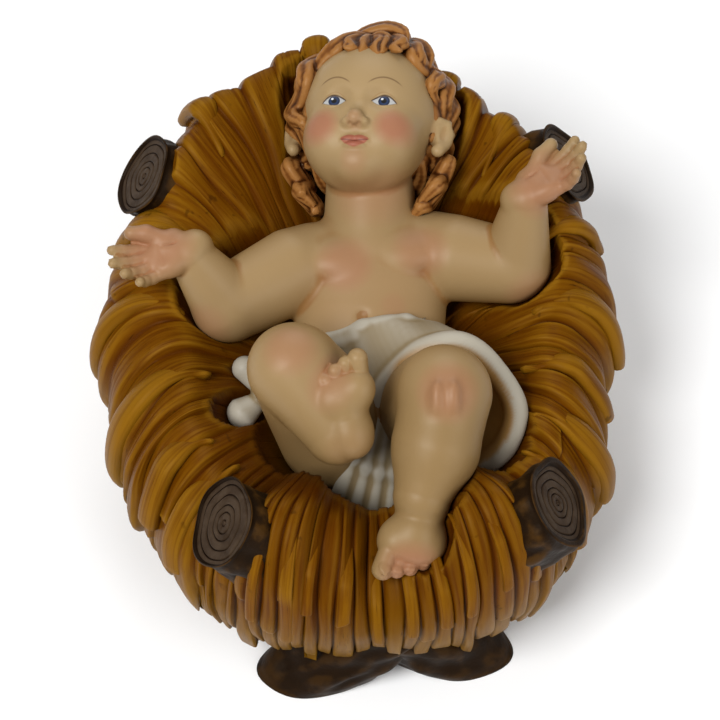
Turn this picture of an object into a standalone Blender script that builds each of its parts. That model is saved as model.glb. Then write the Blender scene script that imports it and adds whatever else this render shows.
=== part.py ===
"""A child lying in a manger: a thick bowl of carved straw held by two trestles of crossed logs.

The work is two resin castings. The manger is one, its straw and its logs run together, and the
child, with hair and loincloth, is the other and lies loose in the hollow.
+Z is up and -Y is the foot end, where the child's feet point.
"""

import math

import bmesh
import bpy
from mathutils import Euler, Matrix, Vector
from mathutils.bvhtree import BVHTree

# Driving dimensions, in metres
LENGTH = 0.180
WIDTH = 0.149
HEIGHT = 0.1004
LOG_DIAMETER = 0.0246
GROUND_CLEARANCE = 0.0155
FLOOR_THICKNESS = 0.0080
HAIR_LOCK_WIDTH = 0.0058
CLOTH_HEM_THICKNESS = 0.0046
SEAT_GAP = 0.0006
BABY_TRIANGLES = 4800

# The carving's tables are in shares: 180 to the length, 149 to the width and 100.4 to the height
SHARE = LENGTH / 180.0
SHARE_ACROSS = WIDTH / 149.0
SHARE_UP = HEIGHT / 100.4
VOXEL = 1.05
CREASE_SMOOTHING = 3
SLIVER = 0.03

# A limb's place is named as seen from the foot end, from above: to the right, up and back
LOOK_RIGHT = Vector((0.9986, -0.0523, 0.0))
LOOK_UP = Vector((0.0444, 0.8469, 0.5299))
LOOK_BACK = Vector((-0.0277, -0.5292, 0.8480))

# The head: its middle, then its nod, lean and turn in degrees
HEAD_MIDDLE = Vector((4.8, 50.0, 80.0))
HEAD_NOD = 8.0
HEAD_LEAN = 9.0
HEAD_TURN = 10.0
SKULL_MIDDLE = Vector((0.0, 4.0, -2.0))
SKULL_RADII = Vector((20.0, 20.0, 21.0))

# The straw: the hollow's middle, and the floor's two faces
HOLLOW = Vector((1.0, -14.0, 0.0))
FLOOR_UNDER = GROUND_CLEARANCE / SHARE_UP
FLOOR_TOP = FLOOR_UNDER + FLOOR_THICKNESS / SHARE_UP
SEAT_SWEEPS = 40
LOG_RADIUS = LOG_DIAMETER / 2 / SHARE
LOG_SIDES = 14

# The hair's locks and the loincloth's rolled hem
LOCK_RADIUS = HAIR_LOCK_WIDTH / 2 / SHARE
HEM_RADIUS = CLOTH_HEM_THICKNESS / 2 / SHARE

# By direction from the hollow, in degrees from +X towards the head end:
# the hem's reach and height, the bulge's reach and height, and the crest's reach and height
RIM = (
    (0, 64, 20, 68, 33, 50, 61),
    (30, 69, 22, 77, 46, 61, 69),
    (44, 73, 24, 81, 50, 70, 78),
    (58, 78, 24, 86, 52, 74, 77),
    (72, 85, 25, 92, 56, 81, 79),
    (97, 91, 25, 100, 56, 90, 82),
    (115, 86, 24, 94, 54, 83, 80),
    (132, 78, 24, 86, 51, 74, 79),
    (147, 73, 22, 81, 44, 62, 69),
    (180, 69, 20, 74, 33, 51, 61),
    (205, 72, 20, 76, 34, 55, 60),
    (225, 76, 20, 79, 36, 60, 59),
    (234, 76, 20, 78, 37, 59, 59),
    (243, 76, 20, 80, 44, 61, 71),
    (250, 76, 20, 80, 44, 59, 70),
    (258, 75, 20, 78, 42, 55, 60),
    (270, 73, 20, 76, 38, 51, 51),
    (282, 75, 20, 78, 42, 55, 59),
    (291, 76, 20, 80, 44, 59, 70),
    (301, 76, 20, 80, 44, 61, 71),
    (310, 76, 20, 78, 37, 59, 59),
    (318, 75, 20, 77, 36, 60, 59),
    (335, 69, 20, 73, 34, 54, 60),
)

# How wide a strand is, in shares, and how far its outer end swings, in degrees, by direction
STRANDS = ((0, 7.6, -7), (45, 8.5, -4), (95, 9.5, 0), (135, 8.5, 4), (180, 7.6, 7),
           (222, 6.2, 4), (240, 4.1, 1), (270, 4.0, 0), (300, 4.1, -1), (318, 6.2, -4))

# The two trestles: the upper end, the foot on the ground, and the upper end's cut face
LOGS = (
    ((-40.0, -70.0, 66.0), (22.5, -77.5, 0.0), (-0.74, -0.07, 0.67)),
    ((48.6, -68.0, 65.0), (-16.5, -80.5, 0.0), (0.74, -0.07, 0.67)),
    ((-60.5, 41.0, 71.0), (23.0, 50.0, 0.0), (-0.76, 0.02, 0.65)),
    ((61.6, 39.0, 71.0), (-19.0, 53.0, 0.0), (0.76, 0.02, 0.65)),
)


def look(right, up, back):
    """Returns a direction given along the view from the foot end."""
    return LOOK_RIGHT * right + LOOK_UP * up + LOOK_BACK * back


def blend_table(table, angle):
    """Returns the row of a table by direction, eased between its two nearest rows."""
    count = len(table)
    for i, row in enumerate(table):
        after = table[(i + 1) % count]
        span = (after[0] - row[0]) % 360
        along = (angle - row[0]) % 360
        if along < span:
            share = along / span
            share = share * share * (3 - 2 * share)
            return [a + (b - a) * share for a, b in zip(row[1:], after[1:])]
    raise ValueError(angle)


class Place:
    """Axes of a limb or of the head: x across, y along and z out of the palm, sole or face."""

    def __init__(self, origin, axes, mirror=1):
        self.origin = Vector(origin)
        self.axes = axes
        self.mirror = mirror

    @classmethod
    def along(cls, origin, axis, normal, mirror):
        """Sets the axes from the way the limb points and the way its palm or sole faces."""
        y = Vector(axis).normalized()
        z = Vector(normal)
        z = (z - y * z.dot(y)).normalized()
        x = y.cross(z)
        return cls(origin, Matrix((x, y, z)).transposed(), mirror)

    def point(self, local):
        """Returns where a local point stands in the work."""
        return self.origin + self.axes @ Vector((local[0] * self.mirror, local[1], local[2]))


class Clay:
    """Balls and limbs gathered into one mesh, to be run together."""

    def __init__(self):
        self.bm = bmesh.new()

    def ball(self, centre, radii, place=None, turn=0.0):
        """Adds an ellipsoid, in a place's own axes if one is given."""
        axes = Matrix.Identity(3)
        if place:
            centre = place.point(centre)
            axes = place.axes @ Matrix.Rotation(math.radians(turn) * place.mirror, 3, "Z")
        matrix = Matrix.Translation(Vector(centre)) @ axes.to_4x4() @ Matrix.Diagonal((*radii, 1))
        bmesh.ops.create_icosphere(self.bm, subdivisions=3, radius=1.0, matrix=matrix)

    def limb(self, start, end, first, last, place=None):
        """Adds a round-ended cone between two balls."""
        if place:
            start = place.point(start)
            end = place.point(end)
        hull = bmesh.new()
        for centre, radius in ((start, first), (end, last)):
            matrix = Matrix.Translation(Vector(centre))
            bmesh.ops.create_icosphere(hull, subdivisions=2, radius=radius, matrix=matrix)
        made = bmesh.ops.convex_hull(hull, input=hull.verts)
        loose = {g for g in made["geom_interior"] + made["geom_unused"]
                 if isinstance(g, bmesh.types.BMVert)}
        bmesh.ops.delete(hull, geom=list(loose), context="VERTS")
        mesh = bpy.data.meshes.new("limb")
        hull.to_mesh(mesh)
        hull.free()
        self.bm.from_mesh(mesh)
        bpy.data.meshes.remove(mesh)

    def chain(self, points, radii, place=None):
        """Adds limbs end to end."""
        for i in range(len(points) - 1):
            self.limb(points[i], points[i + 1], radii[i], radii[i + 1], place)

    def to_object(self, name, collection):
        """Turns the gathered mesh into an object."""
        mesh = bpy.data.meshes.new(name)
        self.bm.to_mesh(mesh)
        self.bm.free()
        obj = bpy.data.objects.new(name, mesh)
        collection.objects.link(obj)
        return obj


def add_hand(clay, place):
    """Adds a small open hand: palm, four fingers a little curled, and the thumb."""
    clay.ball((0.3, 7.0, 0.0), (7.2, 8.0, 3.9), place)
    clay.ball((4.4, 4.8, 1.6), (3.5, 5.8, 3.5), place, 20)
    clay.ball((-4.1, 5.6, 1.2), (3.0, 6.0, 3.2), place)
    clay.limb((0, -3, 0), (0, 3, 0), 6.0, 5.2, place)
    for across, start, length, radius, curl in (
            (4.9, 12.0, 8.8, 2.4, 0.16), (1.7, 12.9, 10.0, 2.4, 0.20),
            (-1.6, 12.5, 9.2, 2.3, 0.30), (-4.7, 11.2, 7.4, 2.05, 0.34)):
        points = [Vector((across, start, 0.0))]
        for joint in range(3):
            bend = curl * (joint + 0.6)
            step = Vector((across * 0.04, math.cos(bend), math.sin(bend))) * (length / 3)
            points.append(points[-1] + step)
        clay.chain(points, [radius * (1 - 0.06 * joint) for joint in range(4)], place)
    clay.chain(((4.7, 5.2, 1.7), (8.9, 10.3, 3.0), (10.7, 14.9, 3.4)), (3.3, 2.8, 2.3), place)


def add_foot(clay, place):
    """Adds a plump foot: heel, arch, ball and five toes."""
    clay.ball((0.0, 1.0, -1.5), (7.0, 7.6, 6.6), place)
    clay.limb((-0.3, 5.0, -2.0), (-0.2, 13.0, -1.6), 6.6, 6.6, place)
    clay.ball((0.0, 15.4, -1.2), (9.4, 7.0, 5.1), place)
    clay.ball((4.8, 15.6, -0.2), (4.8, 5.2, 4.6), place)
    clay.ball((-5.0, 13.6, -0.4), (4.4, 5.4, 4.2), place)
    for across, start, length, radius in ((5.9, 19.2, 5.2, 3.5), (1.5, 19.8, 4.8, 2.6),
                                          (-2.1, 18.9, 4.4, 2.5), (-5.2, 17.4, 3.9, 2.35),
                                          (-7.8, 15.3, 3.4, 2.2)):
        clay.limb((across, start, -0.9), (across * 1.02, start + length, -0.2),
                  radius, radius * 0.97, place)


def add_trunk(clay):
    """Adds the round belly, the chest, the shoulders and the neck."""
    clay.ball((2.0, -20.0, 41.0), (21.5, 17.0, 16.0))
    clay.ball((2.1, -11.0, 46.0), (21.8, 18.0, 16.6))
    clay.ball((2.2, -3.0, 50.0), (21.6, 18.0, 16.4))
    clay.ball((2.7, 5.0, 53.0), (22.2, 17.0, 15.8))
    clay.ball((3.2, 12.0, 55.5), (23.0, 16.0, 15.2))
    clay.limb((-13, 17, 59), (21.5, 18.5, 60), 11.4, 11.4)
    clay.limb((3.5, 20, 60), (4.5, 38, 69), 14.0, 13.0)


def add_arms(clay):
    """Adds both arms, held out and bent up at the elbow."""
    clay.limb((-19.0, 13.2, 60.0), (-37.0, 2.8, 60.0), 12.2, 10.8)
    clay.limb((-37.6, 2.6, 60.5), (-44.0, 7.6, 74.5), 10.6, 6.9)
    add_hand(clay, Place.along((-44.6, 7.6, 76.0), look(-0.98, -0.04, 0.15),
                               look(-0.1, 0.25, 0.95), 1))
    clay.limb((27.4, 14.5, 61.0), (43.0, 10.4, 61.5), 12.4, 10.6)
    clay.limb((44.2, 10.8, 62.5), (46.0, 15.6, 80.0), 10.4, 6.6)
    add_hand(clay, Place.along((45.8, 16.4, 81.0), look(0.80, 0.34, 0.42),
                               look(-0.20, 0.10, 0.95), -1))


def add_legs(clay):
    """Adds both legs: one drawn up with its sole in view, one crossing down over the rim."""
    clay.limb((-8.5, -29.0, 42.0), (-19.0, -30.5, 76.0), 17.0, 12.8)
    clay.limb((-20.0, -30.5, 77.5), (-9.0, -48.0, 69.0), 12.2, 9.0)
    add_foot(clay, Place.along((-6.0, -53.5, 71.0), look(-0.20, 0.96, 0.14),
                               look(0.02, -0.10, 1.0), 1))
    clay.limb((15.5, -26.0, 43.0), (20.0, -38.0, 74.5), 16.0, 12.6)
    clay.limb((20.2, -40.0, 75.5), (16.8, -53.0, 69.0), 12.3, 11.6)
    clay.limb((16.8, -53.0, 69.5), (12.8, -63.5, 63.5), 11.6, 8.0)
    add_foot(clay, Place.along((13.4, -60.3, 59.0), (-0.28, -0.90, -0.16),
                               (-0.25, 0.16, -1.0), -1))


def head_place():
    """Returns the head's own axes: x across, y to the crown and z out of the face."""
    turn = Euler((0.0, math.radians(-HEAD_TURN), 0.0)).to_matrix()
    lean = Euler((0.0, 0.0, math.radians(-HEAD_LEAN))).to_matrix()
    nod = Euler((math.radians(HEAD_NOD), 0.0, 0.0)).to_matrix()
    return Place(HEAD_MIDDLE, nod @ lean @ turn)


def add_head(clay, place):
    """Adds an infant's head on common proportions: skull, cheeks, nose, lips and ears."""
    clay.ball(SKULL_MIDDLE, SKULL_RADII, place)
    clay.ball((0.0, 8.0, 5.5), (16.0, 13.6, 13.6), place)
    clay.ball((0.0, -7.6, 3.8), (16.6, 14.2, 14.0), place)
    clay.ball((0.0, -17.2, 10.0), (6.2, 5.0, 5.6), place)
    clay.limb((0, -1.5, 15.6), (0, -7.8, 19.2), 2.0, 2.5, place)
    clay.ball((0.0, -15.0, 16.2), (3.4, 1.5, 2.1), place)
    for side in (-1, 1):
        clay.ball((side * 8.0, -8.6, 8.8), (8.2, 8.6, 8.2), place)
        clay.ball((side * 2.4, -8.6, 18.2), (1.7, 1.6, 1.9), place)
        clay.ball((side * 1.9, -12.6, 16.8), (2.7, 1.3, 2.0), place, -16 * side)
        clay.ball((side * 21.0, -4.2, -2.2), (2.8, 5.4, 3.8), place)


def skull_point(around, down, lift):
    """Returns a head point by degrees around the crown's axis and down from the nape."""
    a = math.radians(around)
    b = math.radians(down)
    way = Vector((math.sin(b) * math.sin(a), math.sin(b) * math.cos(a), -math.cos(b)))
    scale = 1 / Vector((way.x / SKULL_RADII.x, way.y / SKULL_RADII.y, way.z / SKULL_RADII.z)).length
    return SKULL_MIDDLE + way * (scale + lift)


def hairline(around):
    """Returns how far down from the nape the hair reaches: to the brow, less at the sides."""
    steps = ((0, 131), (30, 130), (60, 120), (85, 106), (105, 92), (125, 84), (150, 72), (181, 60))
    for (a, first), (b, last) in zip(steps, steps[1:]):
        if abs(around) <= b:
            return first + (last - first) * (abs(around) - a) / (b - a)
    return steps[-1][1]


def add_hair(clay, place):
    """Adds the wavy locks: two rings over the skull, the side curls, the forelock and the quiff."""
    clay.ball((0.0, 4.0, -3.6), (21.0, 20.8, 19.6), place)
    for ring, (count, start, cut) in enumerate(((24, 56, 0), (17, 20, 36))):
        for i in range(count):
            around = -150 + 300 * (i + 0.5 * ring) / count
            end = hairline(around) - cut
            points = []
            for step in range(7):
                share = step / 6
                down = start + (end - start) * share
                sway = 7 * math.sin(2.4 * i + 6.2 * share) / max(0.5, math.sin(math.radians(down)))
                points.append(skull_point(around + sway, down, 0.4 + 1.5 * math.sin(math.pi * share)))
            radii = [LOCK_RADIUS * (0.75 + 0.35 * math.sin(math.pi * s / 6)) * (1 - 0.4 * (s / 6) ** 3)
                     for s in range(7)]
            clay.chain(points, radii, place)
    clay.chain(((-5, 19, 5), (-4, 23.0, 6), (0, 25.8, 6.5), (4.5, 26.2, 7.5), (8.5, 24.4, 8.5),
                (10, 21.8, 9.2)), (2.2, 3.2, 3.6, 3.4, 2.8, 1.7), place)
    clay.chain(((6, 20, 4), (9, 23, 4.5), (11.5, 22, 5.5), (14, 19, 6.5), (15.5, 16, 7)),
               (2.4, 3.0, 2.8, 2.2, 1.5), place)
    for across, turn in ((-1.6, -1.0), (1.6, 0.2), (4.6, 0.7), (7.2, 1.4)):
        clay.chain(((across * 0.8, 22.4, 8), (across + 0.3 * turn, 20.6, 12.0),
                    (across + turn, 17.4, 15.0), (across + turn * 0.6, 14.8, 16.7)),
                   (2.4, 2.4, 2.0, 1.2), place)
    brow_radii = [LOCK_RADIUS * share for share in (0.86, 1.0, 0.93, 0.79, 0.52)]
    clay.chain(((-1, 22.4, 8), (-5, 21.7, 10.5), (-9.5, 19.0, 11.2), (-13, 15.6, 10.4),
                (-16, 11.8, 8.4)), brow_radii, place)
    for side in (-1, 1):
        for k in range(4):
            drop = 13 - 7.2 * k
            out = 16.6 + 0.9 * k
            fore = 5.0 - 2.5 * k
            clay.chain(((side * (out - 1), drop + 5, fore - 2.5), (side * (out + 1.6), drop + 2.6, fore),
                        (side * (out + 2.8), drop - 1, fore - 0.6),
                        (side * (out + 1.2), drop - 4.4, fore + 0.6),
                        (side * (out + 2.0), drop - 8, fore - 1.2)), (2.0, 2.7, 2.6, 2.2, 1.4), place)
        for k in range(3):
            clay.chain(((side * (20.5 - k), -9 - 3 * k, -6 - 2 * k),
                        (side * (21.0 - 1.5 * k), -13 - 3 * k, -4.5 - 1.5 * k),
                        (side * (19.3 - 2.4 * k), -17.2 - 2.2 * k, -4 - 1.5 * k),
                        (side * (17 - 3.0 * k), -20.0 - 1.5 * k, -4.8 - 1.2 * k)),
                       (2.4, 3.2, 2.8, 1.6), place)


def curve_point(points, share):
    """Returns a point along a chosen line, by straight runs."""
    whole = share * (len(points) - 1)
    i = min(int(whole), len(points) - 2)
    return Vector(points[i]).lerp(Vector(points[i + 1]), whole - i)


def add_cloth(clay):
    """Adds the loincloth: the band, the skirt rolled round one thigh, the fall and the knot."""
    waist = ((-2, -11, 62.5), (3, -10, 64.5), (11, -10, 65.0), (20, -11, 62.5), (26, -13, 57),
             (27, -17, 50), (26, -24, 42), (24, -30, 36))
    hem = ((3, -30, 57), (8, -24.5, 62.5), (17, -19.5, 68), (27, -19.5, 68.5), (35, -24.5, 65.5),
           (40, -33, 59.5), (38.5, -41, 51.5), (31.5, -44, 44))
    strips = 26
    for i in range(strips + 1):
        share = i / strips
        fold = 0.5 + 0.5 * math.cos(i * math.pi)
        clay.limb(curve_point(waist, share), curve_point(hem, share), 1.3 + 0.5 * fold, 1.5 + 0.6 * fold)
    clay.chain(hem, [HEM_RADIUS] * len(hem))
    clay.chain(((-20, -13, 52), (-10, -11, 60), (0, -9.5, 64), (12, -9.0, 65), (22, -11, 60),
                (26, -14, 50)), (1.6, 1.9, 2.1, 2.1, 2.1, 1.8))
    for top, low in (((1, -31, 56), (-8.5, -48.5, 37.0)), ((3, -33, 55), (-4.5, -51.0, 35.5)),
                     ((5, -34, 54), (0.0, -52.0, 34.5)), ((7, -34, 53), (4.5, -52.0, 34.5)),
                     ((9, -34, 52), (9.0, -50.5, 36.0))):
        bend = (Vector(top) + Vector(low)) / 2 + Vector((0.0, -2.5, 2.0))
        clay.chain((top, bend, low), (2.6, 2.8, 3.1))
    clay.chain(((-2, -12, 62.5), (-18, -14, 56), (-27, -20, 49)), (2.4, 2.6, 2.8))
    clay.chain(((-26, -20, 47), (-18, -22, 36), (-8, -24, 29)), (2.6, 2.6, 2.6))
    clay.ball((-28.5, -21, 49.5), (3.6, 3.6, 3.8))
    clay.limb((-29, -20, 50.5), (-33.5, -14.5, 53), 2.6, 3.7)
    clay.limb((-30, -22.5, 48.5), (-34.5, -25, 46.5), 2.8, 4.7)


def apply_modifier(obj, kind, **settings):
    """Adds a modifier, sets it and applies it."""
    modifier = obj.modifiers.new(kind.lower(), kind)
    for key, value in settings.items():
        setattr(modifier, key, value)
    graph = bpy.context.evaluated_depsgraph_get()
    graph.update()
    mesh = bpy.data.meshes.new_from_object(obj.evaluated_get(graph))
    obj.modifiers.remove(modifier)
    obj.data = mesh


def make_baby(collection):
    """Runs all the child's forms together into one closed casting."""
    clay = Clay()
    head = head_place()
    add_trunk(clay)
    add_arms(clay)
    add_legs(clay)
    add_head(clay, head)
    add_hair(clay, head)
    add_cloth(clay)
    baby = clay.to_object("baby", collection)
    apply_modifier(baby, "REMESH", mode="VOXEL", voxel_size=VOXEL)
    apply_modifier(baby, "SMOOTH", factor=0.5, iterations=CREASE_SMOOTHING)
    faces = 2 * len(baby.data.polygons)
    apply_modifier(baby, "DECIMATE", ratio=BABY_TRIANGLES / faces, use_collapse_triangulate=True)
    return baby


def strand_angles():
    """Returns the direction of each strand's ridge and groove, by the strands' own widths."""
    angles = []
    angle = 0.0
    while angle < 360.0:
        width = blend_table(STRANDS, angle)[0]
        reach = blend_table(RIM, angle)[2]
        step = math.degrees(width / reach)
        angles += [angle, angle + step / 2]
        angle += step
    stretch = 360.0 / angle
    return [a * stretch for a in angles]


def rim_profile(angle, strand):
    """Returns a slice of the straw, from under the floor out over the rim to the hollow.

    Each point is its reach, its height and how deep the strands are cut there.
    """
    hem_r, hem_z, bulge_r, bulge_z, crest_r, crest_z = blend_table(RIM, angle)
    ragged = 2.6 * math.sin(3.7 * strand) + 1.4 * math.sin(1.3 * strand)
    rise = crest_z - FLOOR_TOP
    outer = []
    for share in (0.35, 0.72):
        turn = share * math.pi / 2
        outer.append((crest_r + (bulge_r - crest_r) * math.cos(turn),
                      bulge_z + (crest_z - bulge_z) * math.sin(turn), 1.0))
    inner = []
    for share in (0.84, 0.64, 0.42, 0.20):
        roll = 0.55 * share + 0.45 * (0.5 - 0.5 * math.cos(math.pi * share))
        inner.append((crest_r * share, FLOOR_TOP + rise * roll, 0.2 + 0.6 * share))
    return [
        (hem_r * 0.40, FLOOR_UNDER, 0.0),
        (hem_r * 0.80, FLOOR_UNDER + 0.5, 0.0),
        (hem_r - 4.5, hem_z + 0.6 * ragged, 0.0),
        (hem_r, hem_z + ragged, 1.0),
        (bulge_r - 0.6, (hem_z + bulge_z) / 2, 1.0),
        (bulge_r, bulge_z, 1.0),
        *outer,
        (crest_r, crest_z, 0.9),
        *inner,
    ]


def turned_ball(name, columns, rows, collection):
    """Turns a half circle into a unit ball with a vertex for each column and row."""
    bm = bmesh.new()
    verts = []
    for row in range(rows + 1):
        slope = math.pi * row / rows
        reach = math.sin(slope) if row % rows else 0.0
        verts.append(bm.verts.new((reach, 0.0, math.cos(slope))))
    for upper, lower in zip(verts, verts[1:]):
        bm.edges.new((upper, lower))
    mesh = bpy.data.meshes.new(name)
    bm.to_mesh(mesh)
    bm.free()
    ball = bpy.data.objects.new(name, mesh)
    collection.objects.link(ball)
    apply_modifier(ball, "SCREW", axis="Z", angle=2 * math.pi, steps=columns, render_steps=columns,
                   use_merge_vertices=True, merge_threshold=0.0001)
    return ball


def make_straw(collection):
    """Shapes a sphere into the straw bowl, with a ridge and a groove for each strand."""
    angles = strand_angles()
    count = len(angles)
    rows = len(rim_profile(0.0, 0)) + 1
    straw = turned_ball("manger", count, rows, collection)
    for vert in straw.data.vertices:
        row = round((1 - math.acos(max(-1.0, min(1.0, vert.co.z))) / math.pi) * rows)
        if row in (0, rows):
            height = FLOOR_UNDER if row == 0 else FLOOR_TOP
            vert.co = HOLLOW + Vector((0.0, 0.0, height))
            continue
        column = round(math.atan2(vert.co.y, vert.co.x) / (2 * math.pi) * count) % count
        angle = angles[column]
        width, swing = blend_table(STRANDS, angle)
        reach, height, cut = rim_profile(angle, column // 2)[row - 1]
        crest_r, crest_z = blend_table(RIM, angle)[4:]
        outward = Vector((reach - crest_r * 0.92, height - crest_z + 22.0))
        depth = cut * width * (0.16 if column % 2 == 0 else -0.16)
        reach += outward.normalized().x * depth
        height += outward.normalized().y * depth
        heading = math.radians(angle + swing * (reach / crest_r - 0.9))
        vert.co = HOLLOW + Vector((math.cos(heading) * reach, math.sin(heading) * reach, height))
    apply_modifier(straw, "TRIANGULATE")
    return straw


def face_spots(face):
    """Returns a face's corners, the middles of its edges and its own middle."""
    corners = [v.co for v in face.verts]
    middles = [(a + b) / 2 for a, b in zip(corners, corners[1:] + corners[:1])]
    return corners + middles + [face.calc_center_median()]


def too_near(spot, tree, clear):
    """Says whether a spot is inside a closed mesh or nearer to it than the clear gap."""
    near, normal, index, distance = tree.find_nearest(spot)
    return distance < clear or (spot - near).dot(normal) < 0


def seat_child(straw, baby):
    """Lowers the straw's upper faces until all of them clear the child by the seat gap."""
    clear = 2.0 * SEAT_GAP / SHARE
    up = Vector((0.0, 0.0, 1.0))
    child = bmesh.new()
    child.from_mesh(baby.data)
    child_tree = BVHTree.FromBMesh(child)
    child_spots = [v.co for v in child.verts] + [(e.verts[0].co + e.verts[1].co) / 2 for e in child.edges]
    bm = bmesh.new()
    bm.from_mesh(straw.data)
    bm.faces.ensure_lookup_table()
    for sweep in range(SEAT_SWEEPS):
        drops = {}
        for face in bm.faces:
            for spot in face_spots(face):
                if not too_near(spot, child_tree, clear):
                    continue
                below = child_tree.ray_cast(Vector((spot.x, spot.y, 0.0)), up)[0]
                drop = max(0.3, min(3.0, spot.z - below.z + clear)) if below else 0.4
                for vert in face.verts:
                    drops[vert] = max(drop, drops.get(vert, 0.0))
        straw_tree = BVHTree.FromBMesh(bm)
        for spot in child_spots:
            if too_near(spot, straw_tree, clear):
                for vert in bm.faces[straw_tree.find_nearest(spot)[2]].verts:
                    drops[vert] = max(0.3, drops.get(vert, 0.0))
        if not drops:
            break
        for vert, drop in drops.items():
            vert.co.z = max(FLOOR_UNDER + 2.0, vert.co.z - drop)
    bm.to_mesh(straw.data)
    bm.free()
    child.free()


def make_log(number, top, foot, cut, collection):
    """Makes one log, cut flat by the ground at its foot and by a saw at its top."""
    top = Vector(top)
    foot = Vector(foot)
    axis = (top - foot).normalized()
    across = axis.cross(Vector((0.0, 1.0, 0.0))).normalized()
    upward = axis.cross(across)
    cut = Vector(cut).normalized()
    bm = bmesh.new()
    made = bmesh.ops.create_cone(bm, cap_ends=True, segments=LOG_SIDES, radius1=1.0, radius2=1.0,
                                 depth=2.0)["verts"]
    for vert in made:
        turn = math.atan2(vert.co.y, vert.co.x)
        knot = 1.0 + 0.05 * math.sin(3 * turn + number) + 0.04 * math.sin(5 * turn + 2 * number)
        side = (across * math.cos(turn) + upward * math.sin(turn)) * LOG_RADIUS * knot
        if vert.co.z > 0:
            spot = top + side
            vert.co = spot - axis * ((spot - top).dot(cut) / axis.dot(cut))
        else:
            spot = foot + side
            vert.co = spot - axis * (spot.z / axis.z)
    bmesh.ops.recalc_face_normals(bm, faces=bm.faces)
    mesh = bpy.data.meshes.new(f"log_{number}")
    bm.to_mesh(mesh)
    bm.free()
    log = bpy.data.objects.new(f"log_{number}", mesh)
    log.hide_render = True
    log.display_type = "WIRE"
    collection.objects.link(log)
    return log


def make_manger(baby, collection, cutters):
    """Makes the straw, seats the child in it and runs the four logs into it."""
    straw = make_straw(collection)
    seat_child(straw, baby)
    for number, (top, foot, cut) in enumerate(LOGS):
        log = make_log(number, top, foot, cut, cutters)
        apply_modifier(straw, "BOOLEAN", operation="UNION", object=log, solver="EXACT")
    bm = bmesh.new()
    bm.from_mesh(straw.data)
    bmesh.ops.remove_doubles(bm, verts=bm.verts, dist=SLIVER)
    bmesh.ops.dissolve_degenerate(bm, edges=bm.edges, dist=SLIVER)
    bm.to_mesh(straw.data)
    bm.free()
    apply_modifier(straw, "TRIANGULATE")
    return straw


def finish(obj, colour, roughness):
    """Gives an object its paint."""
    material = bpy.data.materials.new(obj.name + "_paint")
    material.use_nodes = True
    shader = material.node_tree.nodes["Principled BSDF"]
    shader.inputs["Base Color"].default_value = (*colour, 1.0)
    shader.inputs["Roughness"].default_value = roughness
    shader.inputs["Metallic"].default_value = 0.0
    obj.data.materials.clear()
    obj.data.materials.append(material)


def place_on_origin(objects):
    """Scales the shares to metres and centres the work's box over the origin."""
    scale = Matrix.Diagonal((SHARE_ACROSS, SHARE, SHARE_UP, 1.0))
    points = [scale @ v.co for obj in objects for v in obj.data.vertices]
    lower = Vector([min(p[axis] for p in points) for axis in range(3)])
    upper = Vector([max(p[axis] for p in points) for axis in range(3)])
    middle = (lower + upper) / 2
    shift = Matrix.Translation((-middle.x, -middle.y, -lower.z))
    for obj in objects:
        obj.data.transform(shift @ scale)
    print("box", [round(v, 6) for v in upper - lower], "middle", [round(v, 6) for v in middle])


def main():
    """Builds the two castings."""
    for obj in list(bpy.data.objects):
        bpy.data.objects.remove(obj)
    collection = bpy.data.collections.new("child_in_manger")
    cutters = bpy.data.collections.new("guides")
    bpy.context.scene.collection.children.link(collection)
    bpy.context.scene.collection.children.link(cutters)
    baby = make_baby(collection)
    manger = make_manger(baby, collection, cutters)
    place_on_origin((baby, manger))
    finish(baby, (0.80, 0.58, 0.42), 0.45)
    finish(manger, (0.42, 0.22, 0.05), 0.55)
    for obj in (baby, manger):
        print(obj.name, len(obj.data.polygons), "triangles")


main()
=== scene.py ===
"""Looks of a resin figurine: a child lying in a manger of carved straw on four short logs.

Sizes are in shares, a hundred-and-eightieth of the figurine's length each, until a piece is finished
and its mesh is brought to metres. +Z is up and -Y is the end where the child's feet point.
"""
from __future__ import annotations

import logging
import math
from dataclasses import dataclass, field
from enum import Enum
from typing import Callable, Iterable, Sequence

import bpy
import numpy as np
from mathutils import Euler, Matrix, Vector
from mathutils.bvhtree import BVHTree

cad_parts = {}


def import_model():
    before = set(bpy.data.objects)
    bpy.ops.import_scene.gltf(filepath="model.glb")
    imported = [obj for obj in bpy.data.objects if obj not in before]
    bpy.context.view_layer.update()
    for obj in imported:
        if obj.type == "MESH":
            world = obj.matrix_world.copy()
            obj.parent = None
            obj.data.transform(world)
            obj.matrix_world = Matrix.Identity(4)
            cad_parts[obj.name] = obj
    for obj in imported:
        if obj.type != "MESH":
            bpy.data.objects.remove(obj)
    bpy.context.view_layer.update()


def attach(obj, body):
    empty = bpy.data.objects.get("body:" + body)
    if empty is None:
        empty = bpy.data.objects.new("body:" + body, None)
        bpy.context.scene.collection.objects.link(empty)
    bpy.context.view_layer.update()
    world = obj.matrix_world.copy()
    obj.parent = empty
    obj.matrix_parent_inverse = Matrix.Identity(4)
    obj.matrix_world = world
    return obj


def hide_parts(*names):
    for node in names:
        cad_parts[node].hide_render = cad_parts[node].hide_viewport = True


LOG = logging.getLogger("manger")
SHARE = 0.001
OFFSET = np.array((0.001073, 0.00271, 0.0))
VIEW_RIGHT = np.array((0.9986, -0.0523, 0.0))
VIEW_UP = np.array((0.0444, 0.8469, 0.5299))
VIEW_BACK = np.array((-0.0277, -0.5292, 0.8480))
PROBE = 0.06
EYE_ACROSS = 7.1
EYE_HEIGHT = -1.2
Colour = tuple[float, float, float]
Point = Sequence[float]
Array = np.ndarray


class Side(Enum):
    """Which way a hand or a foot is built, seen from the foot end."""

    LEFT = 1
    RIGHT = -1


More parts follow.
